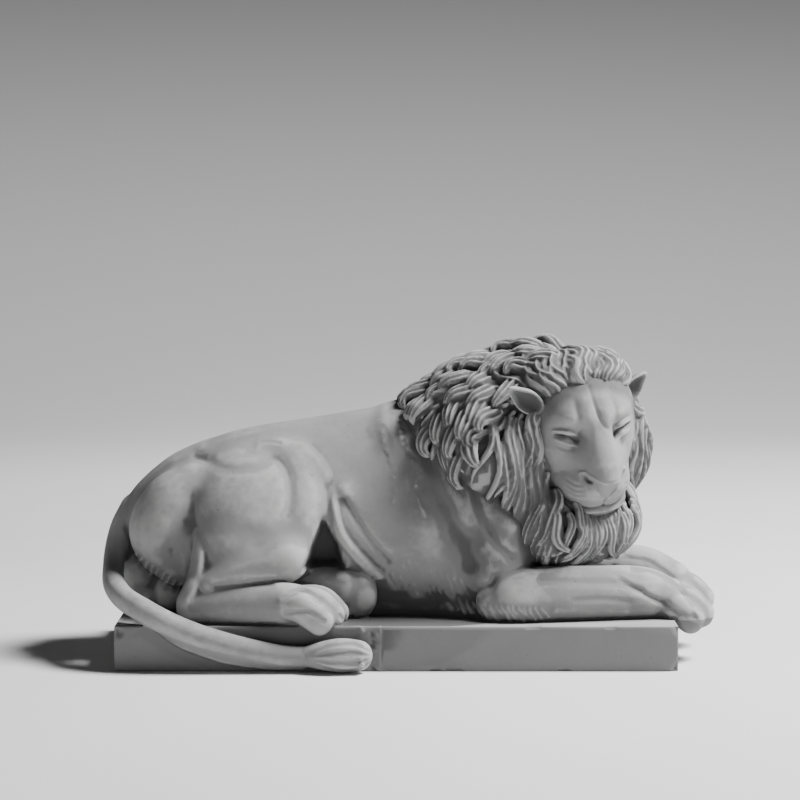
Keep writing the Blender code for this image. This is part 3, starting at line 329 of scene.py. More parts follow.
def from_path(flat, path):
    """Distance in a flat view from each point to a path, and how far along it, 0 to 1."""
    least = np.full(len(flat), 1e9)
    share = np.zeros(len(flat))
    count = len(path) - 1
    for i, (a, b) in enumerate(zip(path, path[1:])):
        d = b - a
        t = np.clip((flat - a) @ d / max(d @ d, 1e-9), 0.0, 1.0)
        far = ((flat - a - t[:, None] * d) ** 2).sum(axis=1)
        nearer = far < least
        least = np.where(nearer, far, least)
        share = np.where(nearer, (i + t) / count, share)
    return np.sqrt(least), share


def strokes(mesh, marks, view, origin=(0, 0, 0), fade=0.0):
    """Raises or sinks the skin along paths drawn in a view.

    The push is depth * exp(-(distance / width)^2) along the skin's outward direction, times
    how squarely the skin looks at the view. A fade thins the stroke towards its ends.
    """
    points, normals = points_and_normals(mesh)
    right, up, toward = view
    flat = np.stack([(points - origin) @ right, (points - origin) @ up], axis=1)
    facing = np.clip((normals @ toward - 0.05) / 0.3, 0, 1)
    push = np.zeros(len(points))
    for depth, width, path in marks:
        path = smooth_rows(path, 6)
        reach = STROKE_REACH * width
        near = ((flat > path.min(0) - reach) & (flat < path.max(0) + reach)).all(axis=1)
        index = np.flatnonzero(near & (facing > 0))
        if len(index):
            far, share = from_path(flat[index], path)
            ends = 1 - fade + fade * np.sin(math.pi * np.clip(share, 0, 1)) ** 0.7
            push[index] += depth * ends * np.exp(-((far / width) ** 2))
    place_points(mesh, points + normals * (push * facing)[:, None])
    return mesh


def hollow(mesh, outline, depth, soft):
    """Sinks the near side within an outline of x, z by depth, easing in over a soft margin."""
    points, normals = points_and_normals(mesh)
    outline = np.asarray(outline, float)
    p = points[:, [0, 2]]
    inside = np.full(len(p), 1e9)
    for a, b in zip(outline, np.roll(outline, -1, axis=0)):
        d = b - a
        cross = (p[:, 0] - a[0]) * d[1] - (p[:, 1] - a[1]) * d[0]
        inside = np.minimum(inside, cross / np.linalg.norm(d))
    ease = np.clip(inside / soft, 0.0, 1.0)
    near = (points[:, 1] < 0) & (normals[:, 1] < 0.2)
    points[:, 1] += np.where(near, depth * ease * ease * (3 - 2 * ease), 0.0)
    place_points(mesh, points)
    return mesh


print("a stroke of width 1 is gone", STROKE_REACH, "units from its path")

# %% [markdown]
# The body is read from back to front: rump, thigh, belly, ribs, shoulder, neck. A lying
# lion's weight spreads its thighs and elbows sideways, so the masses lean outwards near
# the plinth. They are fused coarsely and smoothed a good deal, since on the casting these
# forms run into each other without an edge.


# %% Masses of the body
def core_masses():
    """Barrel, rump, thighs, shoulders, chest and neck: the forms that run into each other."""
    y = (0, 1, 0)
    return [
        roll([(-120, 6, 50, 30, 34), (-106, 5, 49, 41, 43), (-80, 3, 51, 44, 49),
              (-45, 2, 56, 40, 50), (-10, 3, 57, 40, 55), (25, 4, 58, 42, 58),
              (55, 6, 54, 38, 54), (72, 6, 46, 32, 44)], egg=0.27, sides=36, blunt=0.85),
        roll([(-104, 4, 3, 32, 12), (-60, 4, 3, 32, 12), (-20, 4, 3, 32, 12), (20, 3, 3, 32, 12),
              (64, -4, 3, 41, 12)]),
        roll([(-104, -38, 7, 12, 12), (-62, -38, 7, 12, 12)]),
        ball((-76, -21, 60), (41, 24, 41), leaning(38)),
        ball((-84, -28, 49), (29, 21, 40), leaning(34)),
        roll([(-84, -4, 80, 15, 14), (-66, -11, 81, 16, 14), (-54, -20, 74, 16, 14),
              (-51, -31, 60, 15, 13), (-58, -38, 43, 14, 12), (-72, -42, 29, 13, 11)], y),
        ball((-112, -26, 38), (14, 13, 22)),
        roll([(-60, -43, 34, 14, 15), (-85, -45, 26, 14, 14), (-100, -47, 20, 10, 12)], y),
        ball((-85, 34, 40), (40, 24, 38)),
        roll([(-108, -13, 66, 18, 20), (-120, -16, 58, 20, 21), (-127, -18, 46, 20, 21),
              (-127, -19, 36, 16, 19), (-121, -21, 28, 12, 15)], y),
        roll([(-108, 21, 64, 18, 20), (-120, 23, 56, 20, 21), (-126, 24, 44, 20, 21),
              (-124, 24, 32, 17, 19)], y),
        roll([(10, -12, 88, 22, 15), (26, -19, 70, 25, 18), (42, -24, 55, 25, 18),
              (55, -27, 44, 20, 16)], y),
        roll([(18, 22, 94, 20, 14), (34, 30, 78, 24, 18), (52, 33, 56, 25, 18),
              (64, 30, 40, 20, 16)], y),
        roll([(4, 4, 84, 31, 32), (40, 2, 88, 33, 38), (72, -3, 92, 32, 40)], sides=36),
        ball((78, -6, 50), (28, 32, 34)),
        ball((38, -24, 40), (27, 16, 34)),
        roll([(50, -24, 54, 20, 15), (53, -30, 38, 19, 15), (58, -35, 22, 17, 13)], y),
        roll([(-28, -29, 68, 7, 7), (-20, -30, 55, 7, 7), (-8, -29, 42, 8, 7),
              (4, -26, 28, 9, 8), (12, -22, 16, 9, 8)], y),
        roll([(-98, 5, 69, 26, 27), (-118, 5, 63, 23, 23), (-134, 4, 57, 16, 18),
              (-146, 1, 47, 10, 11)], y),
    ]


print("body masses", len(core_masses()))

# %% [markdown]
# Legs, feet, tail and the strap of skin at the flank have clear edges, so they are kept
# apart and fused with smaller voxels. Toes are short bars set side by side in a loop: a
# row of places is easier to correct than four copies of a toe. The tail comes round the
# corner and is webbed onto the plinth's front face, so that the mould comes off it.


# %% Legs, feet and tail
def limb_masses():
    """Legs, feet, tail and skin folds, which stay crisper than the core.

    The end of the tail lies along the plinth's front face, wherever that face is.
    """
    y = (0, 1, 0)
    front = -PLINTH_WIDTH / 2 / UNIT
    shells = [
        roll([(-106, -36, 50, 4, 5), (-105.5, -45, 36, 4.5, 6), (-107.5, -49, 23, 5, 7),
              (-111, -51, 11, 7, 8.5)], y),
        roll([(-109, -51, 8.5, 8, 10.5), (-90, -53, 9.5, 9, 11), (-70, -55.5, 10.5, 9.5, 11.3),
              (-57, -57, 10.5, 10, 11.8), (-44, -57.5, 8.5, 9, 10.5)]),
        roll([(-99, -49, 22, 4, 3), (-84, -51, 24, 4, 3.2), (-68, -52, 24.6, 4, 3.2)]),
        roll([(-66, -30, 16, 7, 7), (-50, -31, 18, 7, 7.5), (-38, -32, 18, 8, 8.5),
              (-28, -33, 15, 9, 12)]),
        roll([(-68, -27, 7, 8, 10), (-48, -28, 7, 8, 10), (-27, -29, 7, 8, 10)]),
        ball((-21.5, -33, 12.4), (11.5, 8, 14.1)),
        ball((-28.5, -37.6, 21), (5.6, 3.4, 5.4)),
        ball((-19, -37.6, 11.5), (8, 4.0, 8)),
        ball((-27.5, -37.6, 5), (4.8, 3.2, 5)),
        ball((-134, 4, 8), (13, 13, 10.5)),
        ball((-139, 6, 26), (17, 15, 27)),
        ball((-121, 0, 10), (14, 20, 14)),
        roll([(-35.0, -31, 70, 2.5, 3), (-33.6, -35, 60, 3, 4), (-31, -37, 49, 3.2, 5),
              (-26.0, -37, 40, 3.4, 5.5), (-18, -35, 31, 3.6, 5.5), (-10, -32, 24, 3.4, 5)], y),
        roll([(-144, 3, 54, 10, 10), (-150.5, -1, 45, 8, 8), (-154.2, -7, 35, 6.6, 6.6),
              (-155, -17, 26, 6, 6.2), (-153, -34, 18.5, 6.2, 6.4), (-146, -52, 13.5, 6.3, 6.6),
              (-135, front + 3, 8.5, 6.3, 6.7),
              (-121, front - 2.5, 2, 6.2, 6.6), (-104, front - 4.2, -4.5, 6, 6.4),
              (-83, front - 4.4, -10.3, 5.6, 6), (-61, front - 4.2, -14.5, 5.3, 5.7),
              (-42, front - 4.2, -15.3, 5.3, 5.6)], sides=20),
        roll([(-124, front + 1, -1.5, 4, 3), (-116, front - 0.5, -7, 4, 3),
              (-108, front - 1, -10.6, 4, 3.2), (-90, front - 1, -16.6, 4, 3.2),
              (-68, front - 1, -19.6, 4, 3.2), (-50, front - 1, -19.8, 4, 3)], sides=14),
        roll([(-48, front - 4.4, -15.2, 5.3, 5.6), (-38, front - 5.5, -14.6, 7, 8),
              (-29, front - 6.2, -14.2, 8, 9.2), (-20, front - 6, -14.4, 7, 8.4)]),
        roll([(54, -42, 10, 11, 11.5), (65, -43, 13, 14, 15), (86, -39, 13.5, 14, 15.5),
              (107, -35, 13, 13.5, 15.5), (124, -32, 13, 13, 15.3),
              (136, -30, 12.3, 13, 14.3), (147, -28, 9.8, 12.5, 11.7)], egg=0.2),
        roll([(50, 26, 13, 14, 15), (76, 22, 14, 14, 17), (104, 18, 15, 13, 17),
              (128, 15, 16, 12, 17.5), (141, 14.5, 15, 12.5, 16.5), (153, 14, 12.0, 12.5, 13.0)]),
    ]
    # Toes: rows of sideways place, lead and lift beside the middle of their paw
    for place, toes in (
        ((-52, -56, 12), ((-10, -3, -1), (-3.5, 3, 1), (4.5, 5, 1), (12, 1, -1))),
        ((149, -27.5, 8), ((-10, -4, -1), (-3.4, 2, 1), (3.6, 3, 1), (10, -3, -1))),
        ((154, 14, 9.5), ((-10, -4, -1), (-3.4, 2, 1), (3.6, 3, 1), (10, -3, -1))),
    ):
        px, py, pz = place
        for side, lead, lift in toes:
            shells.append(
                roll([(px - 5 + 0.4 * lead, py + 0.75 * side, pz + lift, 5.5, 7.5),
                      (px + 6 + lead, py + side, pz - 1.5 + lift, 6, 8.6),
                      (px + 15 + lead, py + 1.05 * side, pz - 8.5 + lift, 5.5, 7.6)])
            )
    return shells


print("limb masses", len(limb_masses()))

# %% [markdown]
# Creases, tendons, toe lines and tufts of short hair are strokes on the finished skin.
# They are written as places along and above the plinth, the way they would be drawn on a
# side view: depth, width and path. A depth below zero sinks the skin.


# %% Strokes on body and plinth
def wander(i, rate):
    """A steady scatter between -1 and 1 for numbered things."""
    return np.sin(rate * i + 1.7 * np.sin(0.73 * rate * i + 0.4))


def tufts(first, last, count, length, lean, depth, width):
    """Short strokes hanging from a line, each swung by the wander of its number."""
    i = np.arange(count)
    t = (i + 0.5) / count
    root = np.array(first) * (1 - t[:, None]) + np.array(last) * t[:, None]
    swing = lean + 0.25 * wander(i, 2.3)
    reach = length * (1 + 0.3 * wander(i, 1.1))
    step = np.stack([swing, -np.ones(count)], axis=1)
    step = step / np.linalg.norm(step, axis=1, keepdims=True) * reach[:, None]
    bend = np.stack([0.12 * reach * wander(i, 3.1), 0 * reach], axis=1)
    return [
        (depth * (1 if k % 2 else -0.8), width, np.array([a, a + 0.5 * b + c, a + b]))
        for k, (a, b, c) in enumerate(zip(root, step, bend))
    ]


def body_marks():
    """Creases and tendons, ankle ridges, toe lines and tufts of the shown side."""
    marks = [
        (-0.9, 3.4, [(-111, 66), (-109, 52), (-107.5, 40), (-110, 27)]),
        (-0.8, 2.6, [(-110, 86), (-92, 81), (-76, 82), (-66, 86), (-59, 79), (-57, 68),
                     (-58, 58)]),
        (0.9, 3.0, [(-74, 92), (-56, 94), (-45, 87), (-38, 77)]),
        (0.5, 1.6, [(-104, 38), (-105.5, 24), (-112, 12)]),
        (-0.7, 1.3, [(-96, 20.0), (-83, 21.5), (-66, 22)]),
        (0.6, 1.2, [(-98, 23.5), (-83, 26), (-65, 26.5)]),
        (-0.9, 1.2, [(-60, 16), (-50, 19), (-40, 14)]),
        (-0.8, 1.2, [(-58, 8), (-47, 9), (-38, 4)]),
        (-0.9, 2.0, [(-28, 64), (-16, 46), (-4, 31)]),
        (-3.2, 7.0, [(10, 108), (14, 92), (23, 66), (38, 30)]),
        (-0.7, 2.0, [(53, 24), (51, 19), (42.5, 10)]),
        (-0.9, 2.4, [(40, 78), (44, 60), (52, 44), (62, 34)]),
        (-0.8, 1.8, [(78, 23), (98, 21), (118, 20), (132, 16)]),
        (-0.6, 1.4, [(96, 12), (112, 12), (126, 10)]),
        (0.6, 1.6, [(86, 7), (104, 6), (124, 5)]),
        (-0.8, 1.2, [(121, 22), (137, 13), (146, 9), (152, 3)]),
        (-0.8, 1.2, [(134, 14), (146, 7), (160, 1)]),
        (-0.7, 1.2, [(128, 27), (140, 25), (152, 17), (160, 8)]),
        (-0.5, 0.7, [(-74, 93.5), (-68, 93.8), (-63, 93)]),
    ]
    for x, z in ((-30, 6), (-24, 1), (-34, -2), (160, 3), (166, -3), (152, -4)):
        marks.append((-1.0, 0.9, [(x, z), (x + 2.2, z - 2.6)]))
    marks += tufts((-8, 26), (46, 6), 30, 9, 0.6, 0.45, 0.9)
    marks += tufts((0, 34), (40, 18), 20, 9, 0.6, 0.3, 0.9)
    marks += tufts((36, 10), (78, 8), 28, 9, 0.8, 0.6, 0.9)
    marks += tufts((-144, 35), (-116, 17), 18, 7, -0.5, 0.6, 0.9)
    marks += tufts((-8, 104), (-2, 66), 16, 9, 0.4, 0.3, 0.9)
    marks += tufts((1, 106), (12, 68), 24, 13, 0.5, 0.45, 0.9)
    for k in range(7):
        marks.append((0.5 if k % 2 else -0.7, 0.8,
                      [(-48, -15 + 0.3 * (k - 3)), (-34, -14.5 + 2.2 * (k - 3)),
                       (-22, -14.5 + 2.4 * (k - 3)), (-13, -14.5 + 0.8 * (k - 3))]))
    return marks


def plinth_marks():
    """Knocked corners and edges, the seam of the mould, a rough patch and crumbs."""
    marks = [
        (-2.2, 2.0, [(-150, -2), (-147.5, -3.5)]),
        (-1.6, 2.2, [(150, 0), (150.5, -2)]),
        (-1.8, 2.0, [(149, -23), (151, -20)]),
        (-1.2, 1.2, [(19, -24), (23, -23.6)]),
        (-1.4, 1.3, [(28, -24), (34, -23.7)]),
        (-0.9, 1.2, [(88, -24), (92, -23.8)]),
        (-0.9, 1.0, [(70, -0.2), (76, -0.2)]),
        (-0.7, 1.0, [(112, -0.2), (116, -0.4)]),
        (0.5, 0.9, [(-8.6, -0.5), (-8.2, -9), (-9, -16), (-8.6, -24)]),
    ]
    for k in range(16):
        x = -14 + 4.5 * math.sin(2.1 * k + 0.3)
        z = -12 + 10.5 * math.sin(1.37 * k + 1)
        marks.append((0.6 if k % 3 else -0.8, 1.0, [(x, z), (x + 0.8, z - 0.7)]))
    return marks


print("body strokes", len(body_marks()), "and plinth strokes", len(plinth_marks()))

# %% [markdown]
# A lion's head seen from the front is a wedge: broad cheeks, a long flat bridge, square
# muzzle. Its planes pass into each other too gently for bars and balls, so the face is a
# depth map: a formula says how far it stands forward at each place, and a closed mask is
# laid over it. Ears are fused after the head, so that its smoothing doesn't melt them.


# %% Masses of the head
def bump(r, u, place, half):
    """A soft swelling about a place: exp(-(r / a)^2 - (u / b)^2)."""
    return np.exp(-(((r - place[0]) / half[0]) ** 2) - ((u - place[1]) / half[1]) ** 2)


def soft_most(parts, sharp):
    """Rounded greatest of several offsets: log(sum of exp(sharp * part)) / sharp."""
    top = np.max(parts, axis=0)
    return top + np.log(sum(np.exp(sharp * (part - top)) for part in parts)) / sharp


def skull_front(r, u):
    """Front of the bare skull: -38 + 38 * sqrt(1 - (r / w)^2.4 - (u / h)^2.4).

    Above the middle w is 35 and h is 42. Below it w narrows to 30 and h is 60, for the jaws.
    """
    w = 35 - 5 * np.clip((-8 - u) / 14, 0, 1)
    q = (np.abs(r) / w) ** 2.4 + (np.abs(u + 8) / np.where(u > -8, 42, 60)) ** 2.4
    return -38 + 38 * np.sqrt(np.clip(1 - q, 0, 1))


def face_front(r, u):
    """How far the face stands forward at a place right and up of the point between the eyes.

    Brows, sockets, eyeballs and cheeks swell or sink the skull. The bridge is a ridge that
    falls off by (1 - t)^1.5 to either side. Muzzle and lower lip are domes raised on this.
    """
    a = np.sqrt(r * r + 0.3)
    front = skull_front(r, u)
    swellings = (
        (1.3, (5.6, 13), (4.0, 9.5)),  # forehead beside the furrow
        (2.8, (14.5, 10.5), (9.0, 4.6)),  # brow
        (-4.4, (15.0, -0.6), (9.5, 6.2)),  # socket
        (4.4, (16.6, 0.2), (6.6, 4.6)),  # eyeball
        (-1.4, (10.4, -0.5), (2.8, 4.5)),  # inner corner of the eye
        (3.0, (20.0, -13), (8.5, 11.0)),  # cheekbone
        (6.0, (22.0, -30), (9.0, 10.0)),  # jaw
    )
    for high, place, half in swellings:
        front = front + high * bump(a, u, place, half)
    level = np.interp(u, [-36, -30, -26, -22, -18.5, -12, -5, 0, 5, 10, 15, 20, 28],
                      [-12, 13.0, 16.5, 18.6, 19.0, 15.6, 10.6, 6.8, 3.2, 0.4, -2.2, -6.2, -17])
    wide = np.interp(u, [-31, -26, -20, -10, 0, 8, 16], [1.0, 4.6, 7.2, 6.6, 6.0, 5.0, 5.0])
    flank = np.interp(u, [-28, -22, -18, -12, -6, 0, 8], [5.0, 6.5, 15, 13, 9.5, 6.0, 7.0])
    t = np.clip(np.log1p(np.exp(6 * (np.abs(r - 0.8) - wide) / flank)) / 6, 0, 1)
    ridge = (level - skull_front(0 * r, u)) * (1 - t) ** 1.5
    form = 1 - (a / 22) ** 2.3 - (np.abs(u + 28) / 14.5) ** 2.4
    muzzle = front + 17 * np.clip(form, 0, 1) ** 0.75 + 1.2 * bump(a, u, (8.5, -28.5), (6, 5))
    jaw = 1 - (a / 24) ** 2.2 - (np.abs(u + 41.5) / np.where(u > -41.5, 11, 6.5)) ** 2.2
    lip = front + 17 * np.clip(jaw, 0, 1) ** 0.65
    return soft_most([front + ridge, muzzle, lip], 0.9)


def mask(rings=70, sides=150):
    """Closed shell whose front is the face, over a full oval 33 by 39 about the nose."""
    t = np.linspace(0, 1, rings + 1)[1:, None]
    f = np.linspace(0, 2 * math.pi, sides, endpoint=False)
    r = 33 * t * np.sign(np.sin(f)) * np.abs(np.sin(f)) ** 0.75
    u = -11 + 39 * t * np.sign(np.cos(f)) * np.abs(np.cos(f)) ** 0.75
    front = np.stack([r, face_front(r, u), u], axis=-1)
    rim = front[-1:].copy()
    rim[..., 1] = -40
    ends = np.array([[0, face_front(np.array(0.0), np.array(-11.0)), -11], [0, -40, -11]])
    shape = np.concatenate([front, rim])
    return closed_shells(
        (HEAD_PLACE + shape @ HEAD_AXES.T)[None],
        HEAD_PLACE + ends[:1] @ HEAD_AXES.T,
        HEAD_PLACE + ends[1:] @ HEAD_AXES.T,
    )


def head_masses():
    """Skull and jaw, with the face as a mask in front of them."""
    return [
        head_ball((0, -25, -2), (28, 24, 24)),
        head_roll([(0, -10, -14, 22, 14), (0, -8, -30, 19, 12)], HEAD_FRONT),
        mask(),
    ]


def ear(s, length, width, depth, place, out, look):
    """A cupped, pointed ear: a domed back, a rounded rim and a bowl of 1 - (r / rim)^2.

    It sits on the side s, points along out and opens towards look.
    """
    out = unit(np.array(out) * (s, 1, 1))
    look = unit(np.array(look) * (s, 1, 1))
    look = unit(look - out * (look @ out))
    across = np.cross(look, out)
    r_back = np.linspace(0.12, 1.0, 9)
    r_front = np.linspace(0.80, 0.10, 7)
    r = np.concatenate([r_back, [1.03, 0.99, 0.90], r_front])[:, None]
    z = np.concatenate([-depth * np.sqrt(1 - r_back**2), [1.0, 1.8, 2.0],
                        1.2 - 0.75 * depth * (1 - (r_front / 0.82) ** 2)])[:, None]
    f = np.linspace(0.0, 2 * math.pi, 28, endpoint=False)
    x = r * np.cos(f) * length * (1 + 0.55 * np.maximum(np.cos(f), 0) ** 5)
    y = r * np.sin(f) * width
    z = z + 0 * f
    rings = x[..., None] * out + y[..., None] * across + z[..., None] * look
    ends = np.array([look * -depth, look * (1.2 - 0.75 * depth)])
    place = np.array(place) * (s, 1, 1)
    rings = HEAD_PLACE + (rings + place) @ HEAD_AXES.T
    ends = HEAD_PLACE + (ends + place) @ HEAD_AXES.T
    return closed_shells(rings[None], ends[:1], ends[1:])


def ear_pair():
    """The two ears: the near one is larger and turned more to the side."""
    return [
        ear(-1, 9.2, 6.4, 6.4, (33.0, -18, 17), (0.78, -0.20, 0.62), (0.15, 0.95, -0.15)),
        ear(1, 8.2, 6.2, 5.0, (30.5, -23, 12.5), (0.74, -0.30, 0.56), (0.35, 0.90, 0.05)),
    ]


print("head masses", len(head_masses()), "and ears", len(ear_pair()))

# %% [markdown]
# The furrow between the brows, the lids, the nostrils and the line of the mouth give the
# face its mood. They are strokes in the face's own view, as places to the right and up.
# What both sides have is written once and mirrored with a sign.


# %% Strokes on the face
def face_marks():
    """Furrows, nostrils, mouth and whisker lines: depth, width and path as right, up."""
    marks = [
        (-0.8, 1.2, [(-1.0, 24), (-1.2, 19), (-0.6, 14.5), (0.8, 10), (2.8, 6.5), (5.2, 3.6)]),
        (-1.0, 0.8, [(0, -31.0), (0, -33), (0, -35)]),
        (0.7, 0.7, [(-10.2, -17.0), (-7.4, -18.4), (-3.5, -20.4), (0.5, -21.0), (5.5, -20.4)]),
        (-1.1, 0.8, [(7.8, -21.0), (5.2, -25.0), (1.2, -29.6)]),
        (-0.6, 0.8, [(-6.6, -22.0), (-4.4, -26.0), (-1.0, -29.8)]),
    ]
    paired = [
        (-0.6, 1.6, [(10.6, 18), (11.2, 13), (10.4, 8)]),
        (-0.6, 0.9, [(22.5, 4.6), (19.5, 5.4), (15, 5.2), (12, 3.4)]),
        (1.0, 0.8, [(22.5, 2.8), (18.5, 3.4), (14.5, 2.8), (12.0, 1.2)]),
        (-3.0, 1.3, [(21.0, 0.4), (19.0, 0.3), (16.5, 0.0), (14.0, -0.7), (12.6, -1.4),
                     (11.4, -2.2)]),
        (-2.2, 1.1, [(22.0, 0.7), (19.0, 0.1), (15.5, -0.7)]),
        (0.8, 0.7, [(22.0, -1.8), (18.5, -3.0), (14.5, -4.2), (12.0, -5.0)]),
        (-0.4, 1.0, [(22.0, -4.4), (18.5, -6.4), (14.5, -7.4)]),
        (-1.7, 0.85, [(10.8, -19.2), (10.0, -20.6), (8.4, -21.2)]),
        (0.9, 0.8, [(12.8, -19.8), (12.4, -17.4), (10.2, -16.2)]),
        (-1.3, 0.9, [(0, -36.8), (4.5, -37.6), (9, -37.8), (14, -37.2), (18, -35.8),
                     (21.5, -33.2), (24.0, -30.0)]),
        (0.8, 0.8, [(0, -40.0), (6, -40.2), (12, -40.4), (18, -39.6)]),
        (-0.5, 0.7, [(13.0, -23.0), (15.6, -23.6), (18.4, -22.2)]),
        (-0.5, 0.7, [(12.4, -25.6), (15.4, -26.6), (18.8, -25.2)]),
        (-0.5, 0.7, [(12.4, -28.4), (15.4, -29.6), (19.0, -28.2)]),
    ]
    for s in (-1, 1):
        marks += [(depth, width, np.array(path) * (s, 1)) for depth, width, path in paired]
    return marks


print("face strokes", len(face_marks()))

# %% [markdown]
# Under the curls the mane is one swelling mass. As a formula it is a set of ellipsoids
# whose distances are blended, which gives for any point how far it is from the surface
# and which way is out. Strands can then be walked over it like a comb over a head.

# %% The mane's mass
MANE_ON_HEAD = (
    ((0, -35, 0), (35.5, 20, 35)),  # behind the face
    ((0, -22, -24), (42, 11, 33)),  # beside the jaws
    ((0, -25, 20), (25, 11, 12)),  # above the brow
    ((0, -10, -49), (26, 13, 18)),  # beard
)
MANE_ON_NECK = (
    ((76, 0, 101), (38, 35, 45)),  # crown
    ((50, 2, 96), (40, 40, 41)),  # nape
    ((24, 4, 94), (30, 31, 27)),  # withers
    ((101, -14, 50), (28, 15, 24)),  # throat, under the beard
    ((86, -8, 60), (22, 21, 30)),  # throat, behind it
    ((65, -18, 67), (20, 18, 33)),  # near side of the neck, low
    ((85, -22, 46), (18, 19, 22)),  # near side of the throat
    ((50, -16, 84), (24, 28, 28)),  # near side of the neck, high
)
MANE_BALLS = [(head(centre)[0], half, HEAD_AXES) for centre, half in MANE_ON_HEAD]
MANE_BALLS += [(np.array(centre, float), half, np.eye(3)) for centre, half in MANE_ON_NECK]
MANE_BLEND = 0.28


def mane_distance(p):
    """Signed distance to the mane mass: a smooth least of k0 * (k0 - 1) / k1 per ellipsoid."""
    found = []
    for centre, half, axes in MANE_BALLS:
        q = (p - centre) @ axes
        k0 = np.linalg.norm(q / half, axis=-1)
        k1 = np.linalg.norm(q / np.square(half), axis=-1)
        found.append(k0 * (k0 - 1) / np.maximum(k1, 1e-9))
    d = np.stack(found, axis=-1)
    least = d.min(axis=-1, keepdims=True)
    return least[..., 0] - np.log(np.exp(-MANE_BLEND * (d - least)).sum(-1)) / MANE_BLEND


def mane_outward(p, step=0.4):
    """Direction in which the distance grows."""
    shifts = np.eye(3) * step
    g = np.stack([mane_distance(p + v) - mane_distance(p - v) for v in shifts], axis=-1)
    return unit(g)


def settled(p, steps=3):
    """Points moved along the outward direction onto the mane mass."""
    for _ in range(steps):
        p = p - mane_outward(p) * mane_distance(p)[..., None]
    return p


mane_mass = [ball(centre, half, axes) for centre, half, axes in MANE_BALLS]
print("top of the mane mass in units", round(float(settled(np.array([[76.0, 0, 150]]))[0, 2]), 1))

# %% [markdown]
# A lock is a flattened bar that starts sunk in the mass, rises, curls to one side and
# ends in a point, with grooves along it where the strands part. All locks of a group are
# worked out together: each step along the lock is one sum over the whole group.


# %% Locks of hair
def lock_paths(roots, heading, length, wave, phase, waves, curl, lifts, steps=13):
    """Paths of locks over the mane mass.

    Each step follows heading(p, n), turned sideways by wave * cos(2 pi waves t + phase)
    + curl * t^2 and settled on the mass; the path rises from root to crest to tip.
    """
    p = roots.copy()
    places = []
    outward = []
    stride = (length / steps)[:, None]
    for i in range(steps + 1):
        t = i / steps
        n = mane_outward(p)
        along = heading(p, n)
        along = unit(along - n * (along * n).sum(-1, keepdims=True))
        places.append(p)
        outward.append(n)
        turn = wave * np.cos(2 * math.pi * waves * t + phase) + curl * t * t
        turn = (turn + np.zeros(len(p)))[:, None]
        along = along * np.cos(turn) + np.cross(n, along) * np.sin(turn)
        p = settled(p + along * stride, 1)
    t = np.linspace(0.0, 1.0, steps + 1)
    rise = np.interp(t, [0, 0.25, 0.6, 0.85, 1.0], lifts)
    places = np.stack(places, axis=1)
    outward = np.stack(outward, axis=1)
    return places + outward * rise[None, :, None], outward


def lock_shells(paths, outward, width, thick, groove=0.35, grooves=3, sides=20):
    """Tapering locks with grooves along them, one closed shell for each path.

    The half width is w * sqrt(sin(pi (0.14 + 0.86 t))) * (1 - 0.3 t), and the upper side is
    scaled by 1 - groove * (1 + cos(2 grooves f)) / 2.
    """
    n = paths.shape[1]
    t = np.linspace(0.0, 1.0, n)
    along = unit(np.gradient(paths, axis=1))
    side = unit(np.cross(outward, along))
    top = np.cross(along, side)
    taper = np.sqrt(np.clip(np.sin(math.pi * (0.14 + 0.86 * t)), 0, 1)) * (1 - 0.3 * t)
    w = width[:, None] * np.maximum(taper, 0.08)
    h = thick[:, None] * np.maximum(taper, 0.08) ** 0.8
    f = np.linspace(0.0, 2 * math.pi, sides, endpoint=False)
    part = 0.5 + 0.5 * np.cos(2 * grooves * (f - math.pi / 2) + math.pi * (grooves % 2 == 0))
    ridge = 1 - groove * part * (np.sin(f) > 0.05)
    x = w[..., None] * np.cos(f)
    z = h[..., None] * np.sin(f) * ridge
    rings = paths[:, :, None] + side[:, :, None] * x[..., None] + top[:, :, None] * z[..., None]
    first = paths[:, 0] - along[:, 0] * w[:, :1]
    last = paths[:, -1] + along[:, -1] * w[:, -1:] * 1.5
    return closed_shells(rings, first, last)


def spread(count):
    """Directions spread evenly over a sphere, by the golden angle."""
    i = np.arange(count) + 0.5
    z = 1 - 2 * i / count
    turn = math.pi * (1 + 5**0.5) * i
    r = np.sqrt(1 - z * z)
    return np.stack([r * np.cos(turn), r * np.sin(turn), z], axis=-1)


print("scatter of the first locks", np.round(wander(np.arange(4), 2.1), 2))

# %% [markdown]
# The crown and neck carry bold, comma-shaped curls swept back from the face; lower down
# they hang. Small sunk strands fill the gaps between them, so that no bare mass shows.
# Roots are spread evenly by rule, because curls set by hand soon fall into rows.


# %% Crown and neck
def swept_back(p, n):
    """Crown and neck hair: back over the head, then back along the neck and down its sides."""
    t = np.clip((100 - p[:, :1]) / 50, 0, 1)
    back = unit((1 - t) * -HEAD_FRONT + t * np.array([-1.0, 0.05, -0.1]))
    steep = np.clip(1.15 - 1.2 * np.abs(n[:, 2:3]), 0, 1)
    low = np.clip((105 - p[:, 2:3]) / 30, 0, 1)
    hang = np.array([-0.35, 0.0, -1.0]) + low * np.array([0.45, 0.0, 0.0])
    return back * (1 - steep) + hang * steep


def crown_roots(count, centre=(70.0, 0.0, 94.0)):
    """Roots spread over the mass, behind the face and above the line from withers to throat."""
    roots = settled(np.array(centre) + 46 * spread(count), 5)
    ahead = unit(roots - HEAD_PLACE + HEAD_FRONT * 26) @ HEAD_FRONT
    above = roots[:, 2] - (118 - 1.14 * roots[:, 0])
    above = above + np.where(roots[:, 1] > 0, 14, 0)
    q = (roots - HEAD_PLACE) @ HEAD_AXES
    ears = np.abs(np.abs(q[:, 0]) - 37) + np.abs(q[:, 2] - 16) + np.maximum(-q[:, 1] - 24, 0)
    keep = (ahead < 0.1) & (above > 6) & (roots[:, 2] > 44) & (ears > 13)
    return roots[keep]


